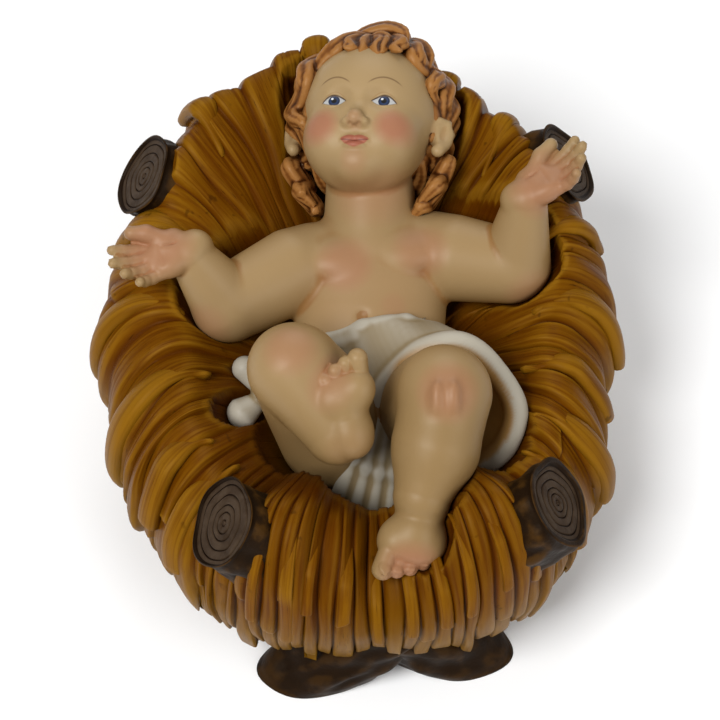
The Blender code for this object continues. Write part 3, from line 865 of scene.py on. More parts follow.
@dataclass(frozen=True)
class StrawPaint:
    """Golden ochre straw, washed dark brown and painted with shade in its cuts, brushed lighter and painted
    with highlights on its ridges, and painted with shade inside the bowl and on its front.
    """

    base: Colour = (0.130, 0.0410, 0.0004)
    gold: Colour = (0.160, 0.0590, 0.0008)
    # Brushed lighter, with painted highlights, on the ridges.
    light: Colour = (0.245, 0.1120, 0.0060)
    # Streaks, and dark washes with painted shade in the cuts.
    amber: Colour = (0.066, 0.0140, 0.0001)
    # Slits and flecks, and painted shade with dark washes deepest in the cuts.
    dark: Colour = (0.020, 0.0040, 0.0001)
    hem: Colour = (0.185, 0.0900, 0.0010)
    # Painted shade inside the bowl and on the front, and darker towards the bottom.
    pit_shade: Colour = (0.070, 0.0160, 0.0001)

    def make(self) -> bpy.types.Material:
        """Returns the material."""
        graph = Graph("straw_paint", 0.38, specular_ior_level=0.08,
                      specular_tint=(1.0, 0.70, 0.30, 1.0))
        place = graph.place()
        lay = graph.stored_vector("lay")
        streak = graph.noise(graph.stretched(lay, (1.1, 0.06, 3.0)), 1.0, 3.0)
        thin = graph.noise(graph.stretched(lay, (3.6, 0.16, 5.0)), 1.0, 2.0)
        blotch = graph.noise(graph.stretched(lay, (0.30, 0.12, 2.0)), 1.0, 2.0)
        cloudy = graph.noise(place, 45.0, 3.0)
        hollow = graph.stored("hollow") + (streak - 0.5) * 0.30
        colour = graph.mix(cloudy.above(0.5, 0.16) * 0.6, self.base, self.gold)
        # Brushed lighter with painted highlights on the ridges.
        colour = graph.mix(hollow.below(-0.17, 0.22) * 0.75, colour, self.light)
        colour = graph.mix(streak.above(0.57, 0.14) * 0.45, colour, self.amber)
        # Dark washes and painted shade in the cuts.
        colour = graph.mix(hollow.above(0.10, 0.30) * 0.9, colour, self.amber)
        # Painted shade inside the bowl and on the front, and darker towards the bottom.
        colour = graph.mix(graph.stored("pit_shade"), colour, self.pit_shade)
        low = graph.split(place)[2].below(0.038, 0.014)
        colour = graph.mix(low * 0.6, colour, self.hem)
        # Painted shade and dark washes, deepest in the cuts.
        colour = graph.mix(hollow.above(0.62, 0.30) * 0.7, colour, self.dark)
        slit = thin.above(0.66, 0.04) * blotch.above(0.56, 0.06)
        colour = graph.mix(slit * 0.8, colour, self.dark)
        fleck = graph.noise(place, 230.0, 2.0).above(0.71, 0.04) * cloudy.above(0.46, 0.1)
        colour = graph.mix(fleck * 0.5, colour, self.dark)
        graph.colour(colour)
        graph.roughness(0.34 + streak * 0.16)
        graph.bump(streak * 0.8 + thin * 0.25, 0.00030, 0.5)
        return graph.material


@dataclass(frozen=True)
class BarkPaint:
    """Near-black bark with ochre dry-brushing, and grey-brown cut ends with dark rings."""

    bark: Colour = (0.0055, 0.0026, 0.0012)
    lump: Colour = (0.0150, 0.0066, 0.0020)
    brush: Colour = (0.0480, 0.0210, 0.0040)
    wood: Colour = (0.0340, 0.0195, 0.0105)
    grain: Colour = (0.0580, 0.0370, 0.0220)
    ring: Colour = (0.0080, 0.0032, 0.0014)

    def make(self) -> bpy.types.Material:
        """Returns the material."""
        graph = Graph("bark_paint", 0.46, specular_ior_level=0.08,
                      specular_tint=(1.0, 0.80, 0.60, 1.0))
        place = graph.place()
        face = graph.stored("cut_face")
        hollow = graph.stored("hollow")
        cloudy = graph.noise(place, 260.0, 4.0)
        fine = graph.noise(place, 900.0, 3.0)
        patch = graph.noise(place, 170.0, 3.0)
        bark = graph.mix(cloudy, self.bark, self.lump)
        ridges = (hollow + (cloudy - 0.5) * 0.6).below(-0.14, 0.16)
        brushed = ridges * (patch.above(0.46, 0.10) * 0.9 + 0.1)
        bark = graph.mix(brushed * graph.stored("brushed"), bark, self.brush)
        wood = graph.mix(cloudy.above(0.5, 0.15) * 0.8, self.wood, self.grain)
        wood = graph.mix(patch.above(0.58, 0.08) * 0.35, wood, self.lump)
        wood = graph.mix((hollow + (cloudy - 0.5) * 0.05).above(0.035, 0.035), wood, self.ring)
        graph.colour(graph.mix(face, bark, wood))
        graph.roughness(0.38 + cloudy * 0.2)
        graph.bump(fine * 0.5 + cloudy, 0.0003, 0.6)
        return graph.material


# The child.


@dataclass
class Child:
    """The child's figure, and its skin as a piece."""

    head_middle: tuple[float, float, float] = (4.7, 48.3, 79.0)
    nod: float = 8.0
    lean: float = 9.0
    turn: float = 10.0
    voxel: float = 1.1
    skull_middle: Array = field(default_factory=lambda: np.array((0.0, 4.0, -2.0)))
    skull_radii: Array = field(default_factory=lambda: np.array((20.0, 20.0, 21.0)))

    def __post_init__(self) -> None:
        """Sets the head's axes."""
        turn = Euler((0, math.radians(-self.turn), 0)).to_matrix()
        lean = Euler((0, 0, math.radians(-self.lean))).to_matrix()
        nod = Euler((math.radians(self.nod), 0, 0)).to_matrix()
        self.head = Axes(np.array(self.head_middle), np.array(nod @ lean @ turn))

    def hand(self, axes: Axes) -> Form:
        """Returns a small open hand: palm, curled fingers and thumb."""
        palm = Blend([axes.egg((0.3, 7.0, 0), (7.2, 8.0, 3.9)),
                      axes.egg((4.4, 4.8, 1.6), (3.5, 5.8, 3.5), 20),
                      axes.egg((-4.1, 5.6, 1.2), (3.0, 6.0, 3.2)),
                      axes.cone((0, -3, 0), (0, 3, 0), 6.0, 5.2)], 2.0,
                     carve=[axes.cone((-3.5, 9.6, 4.2), (3.6, 8.6, 4.6), 0.45),
                            axes.cone((1.6, 3.0, 4.8), (2.4, 7.6, 4.8), 0.4)], edge=0.6)
        fingers: list[Form] = []
        for x, start, length, size, curl in ((5.2, 12.0, 11.0, 2.15, 0.16), (1.8, 12.9, 12.2, 2.15, 0.20),
                                             (-1.7, 12.5, 11.4, 2.1, 0.28), (-5.0, 11.2, 9.2, 1.9, 0.32)):
            line = [np.array((x, start, 0.0))]
            for joint in range(3):
                bend = curl * (joint + 0.6)
                line.append(line[-1] + np.array((x * 0.04, math.cos(bend), math.sin(bend))) * length / 3)
            radii = [size * (1 - 0.06 * joint) for joint in range(4)]
            creases = [axes.cone(line[j] + (-1.6, 0, 2.5), line[j] + (1.6, 0, 2.5), 0.35) for j in (1, 2)]
            fingers.append(Blend(axes.chain(line, radii), 0.7, carve=creases, edge=0.5))
        thumb = Blend(axes.chain(((4.7, 5.2, 1.7), (8.9, 10.3, 3.0), (10.7, 14.9, 3.4)),
                                 (3.3, 2.8, 2.3)), 1.0)
        return Blend([palm, thumb, *fingers], 0.8)

    def foot(self, axes: Axes) -> Form:
        """Returns a plump foot: heel, arch, ball and five toes, creased across the sole."""
        body = Blend([axes.egg((0, 1.0, -1.5), (6.2, 6.6, 6.2)),
                      axes.cone((-0.3, 4, -2), (-0.2, 10, -1.6), 5.9),
                      axes.egg((-0.3, 12.4, -1.2), (7.9, 6.2, 4.9)),
                      axes.egg((4.2, 13.6, -0.2), (4.0, 4.8, 4.3)),
                      axes.egg((-4.2, 10.6, -0.4), (3.8, 4.6, 3.9))], 2.2,
                     carve=[axes.cone((-4.4, 5.4, 4.9), (3.6, 6.2, 5.0), 0.5)], edge=0.9)
        plan = ((4.9, 17.2, 4.0, 2.7), (1.6, 16.8, 3.6, 2.0), (-1.3, 15.4, 3.5, 1.95),
                (-4.0, 13.4, 3.3, 1.9), (-6.4, 11.0, 3.0, 1.8))
        toes = [axes.cone((x, y, -0.7), (x * 1.02, y + length, 0.2), size * 0.92, size)
                for x, y, length, size in plan]
        nails = [axes.egg((x * 1.02, y + length + 0.7, -size * 0.78 - 0.2),
                          (size * 0.62, size * 0.7, 0.5)) for x, y, length, size in plan]
        return Blend([Blend([body, *toes], 0.45), *nails], 0.12)

    def trunk(self) -> Form:
        """Returns belly, chest, shoulders and neck, with the navel and soft creases."""
        body = Blend([Egg((2, -20, 41), (21.5, 17, 16)), Egg((2.1, -11, 46), (21.4, 17.6, 16.2)),
                      Egg((2.2, -3, 50), (21.2, 17.6, 16)), Egg((2.7, 5, 53), (21.8, 16.6, 15.4)),
                      Egg((3.2, 12, 55.5), (22.6, 15.6, 14.8)), Cone((-13, 17, 59), (21.5, 18.5, 60), 11.0),
                      Cone((3.5, 20, 60), (4.5, 38, 69), 13.6, 12.6)], 3.0)
        chest = [Egg((-6.5, 11.5, 67.0), (8.4, 6.0, 4.2)), Egg((13.5, 12.5, 67.6), (8.4, 6.0, 4.2))]
        body = Blend([body, *chest], 2.4)
        navel = surface_along(body, np.array((-0.2, -6.8, 90.0)), (0, 0, -1))
        return Blend([body], 1.0, carve=[Egg(navel + (0, 0, 0.4), (1.5, 1.3, 1.9))], edge=1.3)

    def face(self) -> Form:
        """Returns an infant's head on common proportions, calm, with eyes, nose, lips and ears."""
        head = self.head
        skull = Blend([head.egg(self.skull_middle, self.skull_radii),
                       head.egg((0, 8, 5.5), (15.6, 13.2, 13.2)),
                       head.egg((0, -7.8, 3.8), (16.3, 14.4, 13.4)),
                       head.egg((-8, -8.8, 8.8), (7.7, 8.0, 7.7)),
                       head.egg((8, -8.8, 8.8), (7.7, 8.0, 7.7)),
                       head.egg((0, -17.4, 10.0), (5.6, 4.5, 5.0))], 4.0)
        nose = Blend([head.cone((0, -2.2, 15.7), (0, -7.2, 18.9), 1.5, 2.0),
                      head.egg((0, -8.0, 19.4), (2.1, 1.9, 1.9)),
                      head.egg((-2.4, -8.7, 18.2), (1.4, 1.25, 1.6)),
                      head.egg((2.4, -8.7, 18.2), (1.4, 1.25, 1.6))],
                     1.1, edge=0.5,
                     carve=[head.egg((s * 1.3, -10.1, 19.0), (0.6, 0.7, 1.0)) for s in (-1, 1)])
        sockets = [head.egg((s * 7.0, -0.9, 19.9), (5.0, 3.3, 3.6)) for s in (-1, 1)]
        face = Blend([Blend([skull], 1.0, carve=sockets, edge=1.8), nose], 1.8)
        level = self.depth_at(face, 0.0, -13.7)
        lips = Blend([head.egg((-1.7, -12.85, level - 0.55), (2.4, 0.95, 1.25), 12),
                      head.egg((1.7, -12.85, level - 0.55), (2.4, 0.95, 1.25), -12),
                      head.egg((0, -14.75, level - 0.5), (2.8, 1.1, 1.35))], 0.45)
        face = Blend([face, lips], 0.9)
        parts: list[Form] = [face]
        for side in (-1, 1):
            parts += self.eye(face, side)
        whole = Blend(parts, 0.22)
        return Blend([whole, self.ear(-1), self.ear(1)], 0.7)

    def depth_at(self, form: Form, x: float, y: float) -> float:
        """Returns how far out a form's front lies at a place on the face."""
        inward = self.head.turn @ np.array((0, 0, -1.0))
        spot = surface_along(form, self.head.point((x, y, 32.0)), inward)
        return float(self.head.local(spot[None, :])[0, 2])

    def eye(self, face: Form, side: int) -> list[Form]:
        """Returns an eyeball and its two lids."""
        x, y, ball = side * EYE_ACROSS, EYE_HEIGHT, 4.6
        middle = self.depth_at(face, x, y) + 0.62 - ball
        forms: list[Form] = [self.head.egg((x, y, middle), (ball, ball, ball))]
        for crown, thick in ((1.95, 0.50), (-1.5, 0.34)):
            line, radii = [], []
            for share in np.linspace(-1, 1, 11):
                across = 3.75 * share
                rise = crown * (1 - share * share) ** 0.85 - 0.05
                out = math.sqrt(max(0.1, ball * ball - across * across - rise * rise))
                line.append((x + across, y + rise, middle + out + 0.02))
                radii.append(thick * (1 - 0.35 * share * share))
            forms += self.head.chain(line, radii)
        return forms

    def ear(self, side: int) -> Form:
        """Returns an ear: a rim round a hollow, and a lobe."""
        rim = ((18.8, -0.6, 2.2), (20.6, 1.6, 1.6), (22.8, 1.2, 0.2), (23.7, -1.8, -0.6),
               (22.9, -5.2, 0.0), (20.9, -8.2, 1.8))
        line = [(side * a, b, c) for a, b, c in rim]
        cup = self.head.egg((side * 20.6, -3.0, -0.4), (2.2, 4.3, 2.8))
        inner = self.head.chain([(side * 20.2, -0.8, 1.8), (side * 21.6, -3.4, 1.2),
                                 (side * 20.7, -5.8, 1.8)], (0.8, 0.8, 0.8))
        return Blend([cup, *self.head.chain(line, (0.9, 1.15, 1.2, 1.2, 1.4, 1.9)), *inner], 0.4,
                     carve=[self.head.egg((side * 21.8, -2.6, 2.2), (0.9, 2.4, 1.2))], edge=0.5)

    def body(self) -> Form:
        """Returns the whole skin."""
        left_hand = self.hand(Axes.along((-48.0, 9.6, 77.2), look(-0.90, -0.34, 0.26),
                                         look(-0.1, 0.30, 0.93), Side.LEFT, 0.86))
        right_hand = self.hand(Axes.along((46.8, 19.4, 83.0), look(0.84, 0.48, 0.24),
                                          look(-0.46, 0.48, 0.74), Side.RIGHT, 0.84))
        left_foot = self.foot(Axes.along((-5.2, -51.0, 73.4), look(-0.16, 0.97, 0.14),
                                         look(0.02, -0.1, 1), Side.LEFT))
        right_foot = self.foot(Axes.along((13.4, -60.3, 59.0), (-0.28, -0.90, -0.16),
                                          (-0.25, 0.16, -1.0), Side.RIGHT, 1.1))
        left_arm = Blend([Blend([Cone((-19, 13.2, 60), (-37, 2.8, 60), 12.2, 10.8),
                                 Cone((-37.6, 2.6, 60.5), (-47, 9.0, 75.8), 10.6, 6.2)], 1.0),
                          left_hand], 0.8)
        right_arm = Blend([Blend([Cone((27.4, 14.5, 61), (43, 10.4, 61.5), 12.4, 10.6),
                                  Cone((44.2, 10.8, 62.5), (46.8, 18.6, 82), 10.4, 6.0)], 1.0),
                           right_hand], 0.8)
        left_leg = Blend([Blend([Cone((-8.5, -29, 42), (-19, -30.5, 76), 17, 12.8),
                                 Cone((-20, -30.5, 77.5), (-9, -46.5, 70), 12.2, 8.8)], 0.9),
                          left_foot], 0.9)
        right_leg = Blend([Blend([Cone((15.5, -26, 43), (20, -38, 74.5), 16, 12.6),
                                  Cone((20.2, -40, 75.5), (16.8, -53, 69), 12.3, 11.6),
                                  Cone((16.8, -53, 69.5), (12.8, -63.5, 63.5), 11.6, 7.8)], 1.6),
                           right_foot], 1.2)
        knee = np.stack([look(1, 0, 0), look(0, 1, 0), look(0, 0, 1)], 1)
        bumps = [Egg(np.array((19.6, -46.6, 86.0)) + look(x, 0, 0), (1.2, 3.6, 1.2), knee)
                 for x in (-2.3, 2.1)]
        right_leg = Blend([right_leg, *bumps], 2.6)
        whole: Form = Blend([self.trunk(), self.face()], 1.4)
        for limb, fillet in ((left_arm, 2.0), (right_arm, 2.0), (left_leg, 1.2), (right_leg, 1.2)):
            whole = Blend([whole, limb], fillet)
        return whole

    def make_skin(self, paint: SkinPaint) -> bpy.types.Object:
        """Builds the skin: finer on hands, feet and face.

        Args:
            paint: Its finish.

        Returns:
            The dressed piece.
        """
        form = self.body()
        skin = gather(form, self.voxel, "skin")
        settle(skin, form, rounds=3)
        ends = ((-51, 6, 78, 14), (50, 20, 86, 15), (-7, -42, 78, 17), (11, -71, 56, 17))

        def fine(points: Array) -> Array:
            """Chooses hands, feet and face."""
            local = self.head.local(points)
            chosen = ((local[:, 2] > 4) & (np.abs(local[:, 0]) < 24)
                      & (local[:, 1] > -24) & (local[:, 1] < 14))
            for x, y, z, size in ends:
                chosen |= np.linalg.norm(points - (x, y, z), axis=1) < size
            return chosen

        def finest(points: Array) -> Array:
            """Chooses eyes, nose and mouth."""
            local = self.head.local(points)
            return ((local[:, 2] > 10) & (np.abs(local[:, 0]) < 12.5)
                    & (local[:, 1] > -17.5) & (local[:, 1] < 3.5))

        refine(skin, fine)
        settle(skin, form, rounds=2)
        refine(skin, finest)
        settle(skin, form, rounds=4, ease=0.35)
        points = read_points(skin.data).astype(float)
        local = self.head.local(points)
        # The painted shade in the hollows is kept lighter on the face.
        front = (np.clip((local[:, 2] - 4) / 5, 0, 1) * (local[:, 1] > -22)
                 * (np.abs(local[:, 0]) < 26))
        store(skin.data, "hollow", hollowness(skin.data, 5) * (1 - 0.6 * front))
        # Painted shade where the surface turns down or away from the view.
        store(skin.data, "under", turned_away_shade(skin.data))
        store(skin.data, "head_place", local)
        store(skin.data, "blush", self.blushes(points))
        dress(skin, paint.make(), "baby")
        return skin

    def blushes(self, points: Array) -> Array:
        """Returns how strongly each vertex is blushed."""
        spots = ((2, -4, 66, 24, 0.10), (4.5, 29, 77, 13, 0.30), (-4.2, 7.5, 70, 9.5, 0.50),
                 (17, 10.8, 71, 9.0, 0.45), (9.1, -4.6, 67, 5.5, 0.28), (-20.4, -31.4, 90, 9, 0.42),
                 (20.4, -45, 86, 9.5, 0.50), (-43, -4.6, 62, 8, 0.30), (47, 2.6, 62, 8, 0.30),
                 (-9.6, -38.5, 80, 9.5, 0.52), (-6, -54, 74, 8, 0.10), (8.5, -81, 56, 9.5, 0.60),
                 (-56, 8.7, 82, 12, 0.60), (51.5, 19, 90, 12, 0.60))
        cheeks = ((-10.5, -8.8, 6.2, 0.85), (10.5, -8.8, 6.2, 0.85), (0, -8.6, 2.8, 0.32),
                  (0, -18.6, 4.5, 0.26))
        total = np.zeros(len(points))
        for x, y, z, size, amount in spots:
            gap = np.linalg.norm(points - (x, y, z), axis=1) / size
            total = np.maximum(total, amount * np.clip(1.25 * (1 - gap * gap), 0, 1))
        local = self.head.local(points)
        for x, y, size, amount in cheeks:
            gap = np.hypot(local[:, 0] - x, local[:, 1] - y) / size
            total = np.maximum(total, amount * np.clip(1.2 * (1 - gap * gap), 0, 1) * (local[:, 2] > 4))
        return total


@dataclass
class Hair:
    """The child's hair: wavy grooved locks over a cap."""

    child: Child
    voxel: float = 0.5

    def hairline(self, around: float) -> float:
        """Returns how far down from the nape the hair reaches."""
        return float(np.interp(abs(around), (0, 30, 60, 85, 105, 125, 150, 181),
                               (131, 130, 120, 106, 92, 84, 72, 60)))

    def skull_point(self, around: float, down: float, lift: float) -> Array:
        """Returns a head point by degrees around the crown's axis and down from the nape."""
        a, b = math.radians(around), math.radians(down)
        way = np.array((math.sin(b) * math.sin(a), math.sin(b) * math.cos(a), -math.cos(b)))
        reach = 1 / np.linalg.norm(way / self.child.skull_radii) + lift
        return self.child.skull_middle + way * reach

    def locks(self) -> list[Form]:
        """Returns every lock: long ones on both sides, the back, the quiff, the fringe and low curls."""
        rng = np.random.default_rng(7)
        head = self.child.head
        centre = head.point(self.child.skull_middle)
        made: list[Form] = []

        def add(line: Sequence[Point], radii: Sequence[float], grooves: int = 6) -> None:
            """Adds one lock, its line given in the head's axes and rounded."""
            line = smooth_line(np.array(line, float), 3)
            radii = np.interp(np.linspace(0, 1, len(line)), np.linspace(0, 1, len(radii)), radii)
            made.append(Lock([head.point(p) for p in line], radii, centre, grooves))

        for s, ends in ((-1, (122, 126, 124, 128, 126, 128, 126, 124)),
                        (1, (84, 118, 122, 126, 124, 128, 126, 124))):
            for k, reach in enumerate(ends):
                top = 130 - 12.0 * k
                low = 112 - 9.8 * k if s < 0 else (108 if k == 0 else 92 - 9.4 * k)
                phase = rng.uniform(0, 6.3)
                line, radii = [], []
                for step in range(15):
                    share = step / 14
                    swing = math.sin(phase + 17.5 * share)
                    down = top + (low - top) * share ** 0.8 + (3.0 + 5.0 * share) * swing
                    lift = 1.3 + 1.2 * math.cos(phase + 17.5 * share)
                    line.append(self.skull_point(s * (5 + (reach - 5) * share), down, lift))
                    radii.append(3.2 * (0.85 + 0.3 * math.sin(math.pi * share)) * (1 - 0.55 * share ** 5))
                add(line, radii, 5)
        for i in range(11):
            around, phase = 108 + 144 * i / 10, rng.uniform(0, 6.3)
            end = self.hairline(min(around, 360 - around))
            line = [self.skull_point(around + 6 * math.sin(phase + 7 * share),
                                     14 + (end + 8 - 14) * share,
                                     0.4 + 1.8 * math.sin(math.pi * share))
                    for share in np.linspace(0, 1, 7)]
            add(line, (2.6, 3.4, 3.6, 3.2, 1.6), 5)
        add(((-6, 18, 5), (-6, 22.5, 6), (-2, 26.2, 6.8), (3.6, 27.4, 7.8), (8.2, 25.8, 9.0),
             (10, 22.4, 10.0)), (2.2, 3.2, 3.6, 3.5, 2.8, 1.4), 5)
        add(((6, 20, 4), (10, 24, 4.5), (13.5, 23, 5.5), (16, 19.6, 6.5), (16.6, 16, 7.4)),
            (2.6, 3.2, 3.0, 2.4, 1.2), 5)
        for x, turn, tip in ((-3.4, -2.0, 16.2), (-0.6, -0.6, 14.2), (2.2, 1.4, 12.8),
                             (4.8, 0.2, 14.6), (7.4, 2.4, 15.0)):
            add(((x * 0.6, 23.0, 6), (x * 0.9, 22.2, 10.5), (x + turn, 19.6, 14.0),
                 (x + turn * 0.3, 16.8, 16.0), (x + turn * 1.3, tip, 17.2)),
                (2.6, 2.6, 2.2, 1.6, 0.6), 4)
        add(((0, 22.6, 8), (-4.5, 22.4, 10.5), (-9.5, 19.6, 11.4), (-13, 15.8, 10.8),
             (-16.2, 11.4, 9.0)), (2.8, 3.2, 3.0, 2.5, 1.3), 4)
        for s in (-1, 1):
            for k in range(4):
                line = []
                for step in range(8):
                    share = step / 7
                    swing = 1.8 * math.sin(9.0 * share + 1.9 * k + s)
                    line.append((s * (22.2 - 1.1 * k - 5.2 * share ** 2 + 0.5 * swing),
                                 -7 - 1.8 * k - 13.0 * share + 0.8 * k * share,
                                 -6.4 - 1.4 * k + 1.6 * share + swing))
                add(line, (2.2, 2.9, 2.8, 2.6, 1.2), 4)
        return made

    def make(self, paint: HairPaint) -> bpy.types.Object:
        """Builds the hair as grooved locks over a cap.

        Args:
            paint: Its finish.

        Returns:
            The dressed piece.
        """
        head = self.child.head
        cap = Meet(head.egg((0, 4.2, -3.4), (21.3, 21.1, 20.2)),
                   Half(head.point((0, 0, 3.0)), head.turn @ np.array((0, -0.5, 1.0))), 1.5)
        form = Blend([cap, *self.locks()], 0.45)
        hair = gather(form, self.voxel, "hair")
        settle(hair, form, rounds=4, ease=0.3, most=0.8)
        store(hair.data, "hollow", hollowness(hair.data, 5))
        dress(hair, paint.make(), "baby")
        return hair


@dataclass
class Loincloth:
    """The child's loincloth, carved in one with it."""

    child: Child
    voxel: float = 0.6

    def form(self) -> Form:
        """Returns the loincloth: a band, a skirt rolled round one thigh, a fall and a knot."""
        wrap = Meet(Blend([Egg((2, -20, 41), (22.9, 18.4, 17.4)),
                           Egg((2.2, -9, 47), (23.0, 18.8, 17.6))], 4),
                    Half((5, -10.0, 62), (0.03, 1, 0.12)), 1.2)
        waist = np.array(((-2, -11, 62.5), (3, -10, 64.5), (11, -10, 65.0), (20, -11, 62.5),
                          (26, -13, 57), (27, -17, 50), (26, -24, 42), (24, -30, 36)), float)
        hem = np.array(((3, -30, 58), (8, -25.5, 64), (16, -22, 70), (25, -21, 71.5), (33, -25, 68.5),
                        (40.5, -34.5, 60), (38, -42, 52), (31, -45.5, 45)), float)
        top, low = smooth_line(waist, 5), smooth_line(hem, 5)
        folds: list[Form] = []
        for i in range(len(top)):
            fold = 0.5 + 0.5 * math.cos(i * 0.8)
            folds.append(Cone(top[i], low[i], 1.5 + 0.7 * fold, 1.6 + 0.5 * fold))
        roll = [Cone(a, b, 2.1) for a, b in zip(low, low[1:])]
        skirt = Blend([*folds, *roll], 2.4)
        band = [Cone((-20, -13, 52), (-10, -11, 60), 1.7), Cone((-10, -11, 60), (0, -9.5, 64), 1.9),
                Cone((0, -9.5, 64), (12, -9, 65), 2.0), Cone((12, -9, 65), (22, -11, 60), 2.0),
                Cone((22, -11, 60), (26, -14, 50), 1.9)]
        falls: list[Form] = []
        for start, end, size in (((1, -31, 56), (-8.5, -48.5, 37), 3.0),
                                 ((3, -33, 55), (-4.5, -51, 35.5), 3.0),
                                 ((5, -34, 54), (0, -52, 34.5), 3.1),
                                 ((7, -34, 53), (4.5, -52, 34.5), 3.0),
                                 ((9, -34, 52), (9, -50.5, 36), 2.9)):
            bend = (np.array(start) + np.array(end)) / 2 + (0, -2.5, 2.0)
            falls += [Cone(start, bend, 2.3, size * 0.85), Cone(bend, end, size * 0.85, size)]
        fall = Blend(falls, 1.1)
        sash = Blend([Cone((-2, -12, 62.5), (-18, -14, 56), 2.4, 2.6),
                      Cone((-18, -14, 56), (-27, -20, 49), 2.6, 2.8),
                      Cone((-26, -20, 47), (-18, -22, 36), 2.6),
                      Cone((-18, -22, 36), (-8, -24, 29), 2.6)], 1.2)
        knot = Blend([Egg((-28.5, -21, 49.5), (3.6, 3.6, 3.8)),
                      Cone((-29, -20, 50.5), (-33.5, -14.5, 53), 2.4, 3.6),
                      Cone((-30, -22.5, 48.5), (-34.5, -25, 46.5), 2.6, 4.6)], 0.6)
        return Blend([wrap, skirt, Blend(band, 1.6), fall, sash, knot], 1.2)

    def make(self, paint: ClothPaint) -> bpy.types.Object:
        """Builds the loincloth.

        Args:
            paint: Its finish.

        Returns:
            The dressed piece.
        """
        form = self.form()
        cloth = gather(form, self.voxel, "loincloth")
        settle(cloth, form, rounds=4, ease=0.4)
        points = read_points(cloth.data).astype(float)
        store(cloth.data, "hollow", hollowness(cloth.data, 6))
        # Painted warm shade where the cloth faces or nears the leg.
        store(cloth.data, "deep", self.shade_beside_leg(cloth.data, points))
        dress(cloth, paint.make(), "baby")
        return cloth

    def shade_beside_leg(self, mesh: bpy.types.Mesh, points: Array) -> Array:
        """Returns how strongly each of the cloth's vertices takes painted brown shade beside the legs,
        where it faces or nears them.
        """
        leg = smooth_line(np.array(((15.5, -22, 46), (20, -38, 74.5), (17, -53, 69)), float), 8)
        gaps = np.linalg.norm(points[:, None, :] - leg[None], axis=2)
        toward = leg[gaps.argmin(1)] - points
        toward /= np.linalg.norm(toward, axis=1, keepdims=True)
        facing = (read_normals(mesh) * toward).sum(1)
        inside = np.clip((facing - 0.15) / 0.35, 0, 1) * (gaps.min(1) < 26) * (points[:, 1] < -17)
        beside = self.child.body().distance(points.astype(np.float32))
        near = (np.clip(1.2 - beside / 1.6, 0, 1) * np.clip((points[:, 0] - 5) / 4, 0, 1)
                * np.clip((-20 - points[:, 1]) / 5, 0, 1))
        clear = np.maximum(np.clip((points[:, 2] - 50) / 5, 0, 1),
                           np.clip((points[:, 0] - 12) / 4, 0, 1))
        return np.maximum(inside, near) * clear * 0.92


def smooth_line(points: Array, cuts: int) -> Array:
    """Returns a line through the same points, rounded between them.

    Args:
        points: The line's corners.
        cuts: How many runs each of its runs becomes.

    Returns:
        The rounded line.
    """
    padded = np.vstack([2 * points[0] - points[1], points, 2 * points[-1] - points[-2]])
    made = []
    for i in range(len(points) - 1):
        a, b, c, d = padded[i:i + 4]
        for t in np.arange(cuts) / cuts:
            made.append(rounded(a, b, c, d, t))
    made.append(points[-1])
    return np.array(made)


# The manger.


# Rows of direction in degrees, then reach and height of the hem, of the widest place and of the crest.
RIM = np.array((
    (0, 64, 20, 68, 33, 50, 61), (30, 69, 22, 77, 46, 61, 69), (44, 73, 24, 81, 50, 70, 78),
    (58, 78, 24, 86, 52, 74, 77), (72, 85, 25, 92, 56, 81, 79), (97, 91, 25, 100, 56, 90, 82),
    (115, 86, 24, 94, 54, 83, 80), (132, 78, 24, 86, 51, 74, 79), (147, 73, 22, 81, 44, 62, 69),
    (180, 69, 20, 74, 33, 51, 61), (205, 72, 20, 76, 34, 55, 60), (225, 76, 20, 79, 36, 60, 59),
    (234, 76, 20, 78, 37, 59, 59), (243, 76, 20, 80, 44, 61, 71), (250, 76, 20, 80, 44, 59, 70),
    (258, 75, 20, 78, 42, 55, 60), (270, 73, 20, 76, 38, 51, 51), (282, 75, 20, 78, 42, 55, 59),
    (291, 76, 20, 80, 44, 59, 70), (301, 76, 20, 80, 44, 61, 71), (310, 76, 20, 78, 37, 59, 59),
    (318, 75, 20, 77, 36, 60, 59), (335, 69, 20, 73, 34, 54, 60)), float)
# Rows of direction, then a strand's width and how many degrees it swings on its way up.
STRANDS = np.array((
    (0, 10.5, -19), (45, 9.5, -9), (95, 10.0, 0), (135, 9.5, 9), (180, 10.5, 19), (222, 8.6, 15),
    (240, 4.5, 3), (270, 4.3, 0), (300, 4.5, -3), (318, 8.6, -15)), float)


def by_direction(table: Array, angle: Array) -> Array:
    """Returns rows of a table at directions, eased between its rows.

    Args:
        table: Rows that start with their direction, in degrees.
        angle: The directions.

    Returns:
        A row of values for each direction.
    """
    angle = np.mod(angle, 360.0)
    index = np.searchsorted(table[:, 0], angle, side="right") - 1
    after = (index + 1) % len(table)
    span = np.mod(table[after, 0] - table[index, 0], 360.0)
    share = (angle - table[index, 0]) / span
    share = (share * share * (3 - 2 * share))[..., None]
    return table[index, 1:] + (table[after, 1:] - table[index, 1:]) * share


